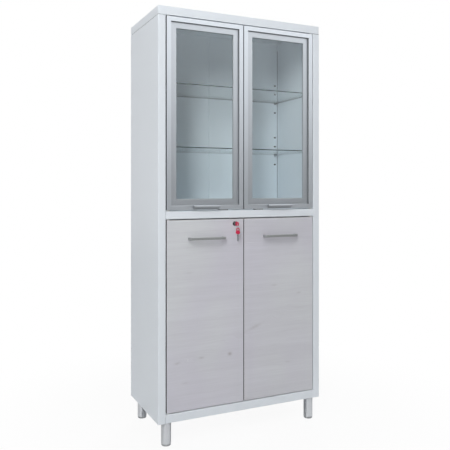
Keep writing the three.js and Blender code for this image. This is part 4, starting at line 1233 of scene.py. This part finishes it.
class CABINET_OT_keys(bpy.types.Operator):
    """Model the key in the lock, the split ring and the spare key"""

    bl_idname = "cabinet.keys"
    bl_label = "Keys and ring"

    def execute(self, context):
        eye = sizes().eye
        ring_low, ring_high = node_box("key_ring")
        hang = (ring_low + ring_high) / 2
        reach = ring_high - ring_low
        turn = math.atan2(reach[Y], reach[X])
        key_low, key_high = node_box("key")
        spare_top = node_box("spare_key")[1][Z]

        def inserted(across, along, rise):
            """The key in the lock: its bow stands up and down, its blade points back."""
            return rise, -along, across

        def hanging(across, along, rise):
            """The spare key: its blade points down, its flat lies across the ring's wire."""
            x = rise * math.cos(turn) - across * math.sin(turn)
            y = rise * math.sin(turn) + across * math.cos(turn)
            return x, y, along

        hole = (hang[X], key_low[Y] + eye, (key_low[Z] + key_high[Z]) / 2)
        self.add_key("key", hole, inserted)
        self.add_key("spare_key", (hang[X], hang[Y], spare_top - eye), hanging)
        mesh = self.coil(hang, reach[Z] / 2, turn)
        stand_for("key_ring", "split_ring", mesh, "chrome", chrome(Z))
        return {"FINISHED"}

    def add_key(self, node, hole, turned_to):
        """Adds a key's bow and blade, turned its way, with the bow's hole at a point."""

        def placed(grid, wrap):
            """A surface over a key's own coordinates."""
            return surface(np.array(hole) + xyz(*turned_to(*np.moveaxis(grid, -1, 0))), wrap)

        red = plastic("red key plastic", "red", 0.36)
        stand_for(node, f"{node}_bow", placed(self.bow(), (True, True)), "red_plastic", red)
        blade = placed(self.blade(), (False, True))
        rounding = sizes().blade_thickness / 8
        add_piece(f"{node}_blade", blade, node, "chrome", chrome(Y), bevel=rounding)

    @staticmethod
    def bow():
        """A pear-shaped plate with a round hole. At angle t the inner line lies on the hole's
        circle; the outer one lies on the narrow end's circle above the lines that touch both ends
        and on the wide end's circle below them. A rounded section between the two lines, as thick
        as the bow, is carried round."""
        size = sizes()
        spoke = spokes(round_turn(TURN_SIDES))
        wide_end = size.eye + size.bow - size.bow_length
        narrow = spoke[:, 1:] > (size.bow - size.eye) / wide_end
        inner = size.bow_hole * spoke
        outer = np.where(narrow, size.eye * spoke, (0, wide_end) + size.bow * spoke)
        section = rectangle((0, 0), (BOW_ASPECT, 1), BOW_EDGE) - (0, 0.5)
        share, rise = (section / (BOW_ASPECT, 1)).T
        flat = between(inner, outer, share)
        return xyz(flat[..., 0], flat[..., 1], rise * size.bow_thickness)

    @staticmethod
    def blade():
        """A pointed blade whose one edge is cut by a row of V notches, as wide each way as they
        are deep, carried through its thickness."""
        size = sizes()
        half = size.blade_width / 2
        start = size.eye - size.bow_length + half
        tip = start - half - size.blade_length
        neck = tip + half
        depth = np.array(KEY_CUTS) * MM
        middle = neck + size.cut_pitch * (np.arange(len(depth)) + 0.5)
        across = half - depth[:, None] * [0, 1, 0]
        along = middle[:, None] + depth[:, None] * [-1, 0, 1]
        notches = np.stack([across, along], -1).reshape(-1, 2)
        point = [(-half, start), (-half, neck), (0, tip), (half, neck)]
        outline = np.array([*point, *notches, (half, start)])
        rise = np.array([-0.5, 0.5])[:, None] * size.blade_thickness
        return xyz(outline[None, :, 0], outline[None, :, 1], rise)

    @staticmethod
    def coil(centre, reach, turn):
        """A split ring: a round wire carried along two turns of a flat helix."""
        wire = sizes().ring_wire
        angle = np.linspace(0, 4 * np.pi, 2 * TURN_SIDES + 1)[:, None]
        step = COIL_PITCH * wire * (angle / (2 * np.pi) - 1)
        round_wire = round_turn(WIRE_SIDES)
        out = reach - wire + wire * np.cos(round_wire)
        side = step + wire * np.sin(round_wire)
        flat = out * np.cos(angle)
        x = centre[X] + flat * math.cos(turn) - side * math.sin(turn)
        y = centre[Y] + flat * math.sin(turn) + side * math.cos(turn)
        return surface(xyz(x, y, centre[Z] + out * np.sin(angle)))


class CABINET_OT_glass_shelves(bpy.types.Operator):
    """Model the glass shelves with ground edges"""

    bl_idname = "cabinet.glass_shelves"
    bl_label = "Glass shelves"

    def execute(self, context):
        for tier, node, low, high in each("glass_shelf_{}", TIERS):
            mesh = slab(low, high, Z, sizes().glass_edge, high[Z] - low[Z])
            give_second(mesh, np.abs(of_faces(mesh, "normal")[:, Z]) < UPRIGHT)
            stand_for(node, f"clear_shelf_{tier}", mesh, "glass", clear_glass(), glass_edge())
        return {"FINISHED"}


class CABINET_OT_shelf_pegs(bpy.types.Operator):
    """Finish the shelf pegs with rounded edges"""

    bl_idname = "cabinet.shelf_pegs"
    bl_label = "Shelf pegs"

    def execute(self, context):
        for node in nodes_named("shelf_peg_"):
            mesh = merged_copy(node)
            rounding = sizes().fit
            stand_for(node, "satin_" + node, mesh, "satin_nickel", nickel(Y), bevel=rounding)
        return {"FINISHED"}


class CABINET_OT_peg_sockets(bpy.types.Operator):
    """Model dark blind cups behind the free peg slots, with collars on the back panels: painted
    shade
    """

    bl_idname = "cabinet.peg_sockets"
    bl_label = "Peg sockets"

    def execute(self, context):
        size = sizes()
        steel_rest = node_box("steel_shelf")[1][Z] - size.sheet - size.fit
        behind = node_box("glass_shelf_lower")[1][Y] + size.shelf_gap + size.sheet + size.fit
        for hand in HANDS:
            pegs = {tier: node_box(f"shelf_peg_{tier}_rear_{hand}") for tier in TIERS}
            low, high = pegs["lower"]
            rests = {tier: peg_high[Z] for tier, (_, peg_high) in pegs.items()}
            for tier, rest in {"steel": steel_rest, **rests}.items():
                for step in FREE_PEG_SLOTS:
                    level = rest - size.peg_tab_height / 2 + step * size.peg_pitch
                    spot = np.array([(low[X] + high[X]) / 2, behind, level])
                    self.add_socket(f"{tier}_{hand}_{step + 1}", spot, f"back_panel_{hand}")
        return {"FINISHED"}

    @staticmethod
    def add_socket(name, spot, panel):
        """A blind cup behind a slot, with loops at its floor, at its rim inside and outside and at
        its back, and a collar round the slot on the front of the panel."""
        size = sizes()
        wall, deep, collar = size.socket_wall, size.socket_depth, size.collar
        half = np.array([size.peg_tab / 2, 0, size.peg_tab_height / 2]) + size.fit
        # Painted shade: the cup and its collar are dark for the shade inside the slot.
        finish = rubber("socket plastic", "dark_plastic")
        depths = spot[Y] + np.array([deep, 0, 0, deep + wall])
        low, high = spot - half - wall, spot + half + wall
        cup = carried_round(low, high, Y, (wall, wall, 0, 0), depths, 1.5 * wall)
        add_piece("peg_socket_" + name, surface(cup), panel, "dark_plastic", finish)
        rise = size.collar_rise
        foot = spot[Y] - size.fit - size.sheet - size.seal_play
        section = rectangle((0, foot), (collar, foot - rise), rise / 4, steps=1)
        low, high = spot - half - collar, spot + half + collar
        mesh = hoop(low, high, Y, section, 1.5 * collar)
        add_piece("socket_collar_" + name, mesh, panel, "dark_plastic", finish)


class CABINET_OT_hinge_pins(bpy.types.Operator):
    """Model the hinge pins with their collars in the door gaps"""

    bl_idname = "cabinet.hinge_pins"
    bl_label = "Hinge pins"

    def execute(self, context):
        size = sizes()
        stem, wide, edge = size.pin, size.pin_collar, size.pin_edge
        for node in nodes_named("hinge_pin_"):
            low, high = node_box(node)
            up = 1 if node.endswith("bottom") else -1
            start, end = (low[Z], high[Z])[::up]
            collar = start + up * (size.pin_in_carcass + size.fit)
            top = start + up * (size.pin_in_carcass + size.door_gap - size.fit)
            outline = profile(
                (0, start, 0),
                (stem, start, edge),
                (stem, collar, 0),
                (wide, collar, edge),
                (wide, top, edge),
                (stem, top, 0),
                (stem, end, edge),
                (0, end, 0),
                steps=3,
            )
            mesh = turned(outline, (low + high) / 2, Z, PIN_SIDES)
            finish = plastic("white pin plastic", "white_plastic", 0.42)
            stand_for(node, "moulded_" + node, mesh, "white_plastic", finish)
        return {"FINISHED"}


class CABINET_OT_catches(bpy.types.Operator):
    """Finish the magnetic catches and add their screws and the strike plates on the doors"""

    bl_idname = "cabinet.catches"
    bl_label = "Magnetic catches"

    def execute(self, context):
        size = sizes()
        finish = plastic("black catch plastic", "dark_plastic", 0.55)
        for bay, door in (("upper", "frame_rail_{}_door_bottom"), ("lower", "laminate_door_{}")):
            for hand, node, low, high in each(f"magnetic_catch_{bay}_{{}}"):
                spot = f"{bay}_{hand}"
                mesh = merged_copy(node)
                name = f"moulded_catch_{spot}"
                stand_for(node, name, mesh, "dark_plastic", finish, bevel=size.fit)
                self.add_strike(f"strike_plate_{spot}", door.format(hand), low, high)
                for side, x in zip(HANDS, (low[X] + size.ear_hole, high[X] - size.ear_hole)):
                    centre = (x, (low[Y] + high[Y]) / 2, low[Z] + size.catch_base)
                    mesh = screw_head(centre, Z, size.catch_screw)
                    name = f"catch_screw_{spot}_{side}"
                    add_piece(name, mesh, node, "satin_nickel", nickel(X))
        return {"FINISHED"}

    @staticmethod
    def add_strike(name, door, low, high):
        """A thin plate on the door's back, opposite the catch."""
        size = sizes()
        back = node_box(door)[1][Y]
        middle = (low[X] + high[X]) / 2
        half = size.strike_length / 2
        corner = (middle - half, back + size.strike_play, low[Z])
        far = (middle + half, back + size.strike_thickness, high[Z] - size.fit)
        mesh = slab(corner, far, Y, size.strike_thickness / 4, size.strike_corner)
        add_piece(name, mesh, door, "satin_nickel", nickel(X))


class CABINET_OT_legs(bpy.types.Operator):
    """Model the round legs"""

    bl_idname = "cabinet.legs"
    bl_label = "Legs"

    def execute(self, context):
        size = sizes()
        stud = size.foot_stem + size.fit
        shoulder = node_box("bottom_tray")[0][Z] - size.fit
        for spot, node, low, high in each("leg_{}", LEG_PLACES):
            radius = (high[X] - low[X]) / 2
            outline = profile(
                (0, high[Z], 0),
                (stud, high[Z], size.fit),
                (stud, shoulder, 0),
                (radius, shoulder, size.leg_edge / 2),
                (radius, low[Z], size.leg_edge),
                (stud, low[Z], size.fit),
                (stud, low[Z] + size.leg_bore, 0),
                (0, low[Z] + size.leg_bore, 0),
            )
            mesh = turned(outline, (low + high) / 2)
            stand_for(node, f"plated_leg_{spot}", mesh, "chrome", leg_chrome())
        return {"FINISHED"}


class CABINET_OT_feet(bpy.types.Operator):
    """Model the levelling feet"""

    bl_idname = "cabinet.feet"
    bl_label = "Levelling feet"

    def execute(self, context):
        size = sizes()
        stem, fine = size.foot_stem, size.fit * 2
        for spot, node, low, high in each("levelling_foot_{}", LEG_PLACES):
            radius = (high[X] - low[X]) / 2
            rim = low[Z] + size.foot_height
            outline = profile(
                (0, low[Z], 0),
                (radius, low[Z], size.foot_edge),
                (radius, rim, fine),
                (stem, rim, 0),
                (stem, high[Z], fine),
                (0, high[Z], 0),
            )
            mesh = turned(outline, (low + high) / 2)
            finish = plastic("grey foot plastic", "foot", 0.5)
            stand_for(node, f"moulded_foot_{spot}", mesh, "grey_plastic", finish)
        return {"FINISHED"}


class CABINET_OT_stage(bpy.types.Operator):
    """Set the camera, the pale floor, the soft lights and the white surround"""

    bl_idname = "cabinet.stage"
    bl_label = "Stage"

    def execute(self, context):
        scene = context.scene
        stage = scene.cabinet_stage
        scene.view_settings.view_transform = "Standard"
        camera = bpy.data.objects.new("camera", bpy.data.cameras.new("camera"))
        scene.collection.objects.link(camera)
        camera.location = stage.camera_place
        camera.rotation_euler = (math.pi / 2, 0, stage.camera_turn)
        camera.data.lens = stage.lens
        camera.data.sensor_width = SENSOR_WIDTH
        camera.data.shift_y = stage.rise
        scene.camera = camera
        self.add_floor(scene, stage)
        for name, setting in LIGHTS.items():
            self.add_light(scene, name + " light", getattr(stage, name + "_power"), *setting)
        scene.world = self.surround(stage)
        return {"FINISHED"}

    @staticmethod
    def add_light(scene, name, power, spot, aim, widths, mirrored):
        """A soft light at a spot, turned to its aim, so wide and so tall, that metal and glass
        mirror or don't."""
        lamp = bpy.data.lights.new(name, "AREA")
        lamp.energy = power
        lamp.shape = "RECTANGLE"
        lamp.size, lamp.size_y = widths
        light = bpy.data.objects.new(name, lamp)
        light.visible_glossy = mirrored
        scene.collection.objects.link(light)
        light.location = spot
        way = Vector(spot) - Vector(aim)
        light.rotation_euler = way.to_track_quat("Z", "Y").to_euler()

    @staticmethod
    def add_floor(scene, stage):
        """A level floor that shows as white away from the cabinet and keeps its shadow near it."""
        corners = [(-1, -1, 0), (1, -1, 0), (1, 1, 0), (-1, 1, 0)]
        mesh = bpy.data.meshes.new("floor")
        mesh.from_pydata((np.array(corners) * FLOOR_REACH).tolist(), [], [(0, 1, 2, 3)])
        floor = bpy.data.objects.new("floor", mesh)
        scene.collection.objects.link(floor)
        make = Finish("pale floor")
        spot = make.scaled(make.spot())
        reach = make.node("ShaderNodeVectorMath", {"operation": "LENGTH"}, {0: spot}, "Value")
        far = make.spread(reach, *FLOOR_FADE)
        fleck = make.noise_at(spot, 30)
        plain = make.blend(fleck, shaded(stage.floor, 0.985), stage.floor)
        matt = make.principled(Base_Color=plain, Roughness=0.6 + 0.2 * fleck)
        white = make.node("ShaderNodeEmission", {}, {"Color": opaque(WHITE), "Strength": 1.0})
        seen = make.ray("Camera") * (FLOOR_WHITE + (1 - FLOOR_WHITE) * far)
        share = seen + make.ray("Glossy") * FLOOR_MIRRORED
        mesh.materials.append(make.ends_in(make.mixed(share, matt, white)))

    @staticmethod
    def surround(stage):
        """A white surround for the camera and through glass; for reflections a white backdrop
        behind the cabinet and a room in front of it, pale above and dark towards the horizon;
        and an even light for everything else."""
        make = Finish("surround", "worlds")
        way = make.node("ShaderNodeTexCoord", output="Generated")
        height = make.spread(make.along(way, "Z"), *ROOM_HEIGHTS)
        behind = make.spread(make.along(way, "Y"), *BACKDROP_DEPTHS)
        mirrored = make.blend(behind, make.blend(height, ROOM_LOW, ROOM_HIGH), WHITE)
        tone = make.blend(make.ray("Glossy"), [stage.ambient] * 3, mirrored)
        white = make.ray("Camera").operate("MAXIMUM", make.ray("Transmission"))
        tone = make.blend(white, tone, WHITE)
        light = make.node("ShaderNodeBackground", {}, {"Color": tone, "Strength": 1.0})
        return make.ends_in(light, "ShaderNodeOutputWorld")


OPERATORS = (
    CABINET_OT_sheets,
    CABINET_OT_carcass_seals,
    CABINET_OT_door_frames,
    CABINET_OT_glazing,
    CABINET_OT_door_seals,
    CABINET_OT_edge_pulls,
    CABINET_OT_laminate_doors,
    CABINET_OT_bar_handles,
    CABINET_OT_cam_lock,
    CABINET_OT_keys,
    CABINET_OT_glass_shelves,
    CABINET_OT_shelf_pegs,
    CABINET_OT_peg_sockets,
    CABINET_OT_hinge_pins,
    CABINET_OT_catches,
    CABINET_OT_legs,
    CABINET_OT_feet,
    CABINET_OT_stage,
)


class CABINET_PT_looks(bpy.types.Panel):
    """Lists the cabinet's pieces"""

    bl_idname = "CABINET_PT_looks"
    bl_label = "Clinic cabinet"
    bl_space_type = "VIEW_3D"
    bl_region_type = "UI"
    bl_category = "Cabinet"

    def draw(self, context):
        column = self.layout.column(align=True)
        for operator in OPERATORS:
            column.operator(operator.bl_idname)


GROUPS = {
    "cabinet_sizes": CabinetSizes,
    "cabinet_finishes": CabinetFinishes,
    "cabinet_stage": CabinetStage,
}


def register():
    """Registers the property groups, the operators and the panel."""
    for name, group in GROUPS.items():
        bpy.utils.register_class(group)
        setattr(bpy.types.Scene, name, PointerProperty(type=group))
    for operator in (*OPERATORS, CABINET_PT_looks):
        bpy.utils.register_class(operator)


def unregister():
    """Takes back what register added."""
    for operator in (CABINET_PT_looks, *reversed(OPERATORS)):
        bpy.utils.unregister_class(operator)
    for name, group in reversed(GROUPS.items()):
        delattr(bpy.types.Scene, name)
        bpy.utils.unregister_class(group)


def main():
    """Builds every piece in order."""
    register()
    for operator in OPERATORS:
        group, action = operator.bl_idname.split(".")
        getattr(getattr(bpy.ops, group), action)()


if __name__ == "__main__":
    main()
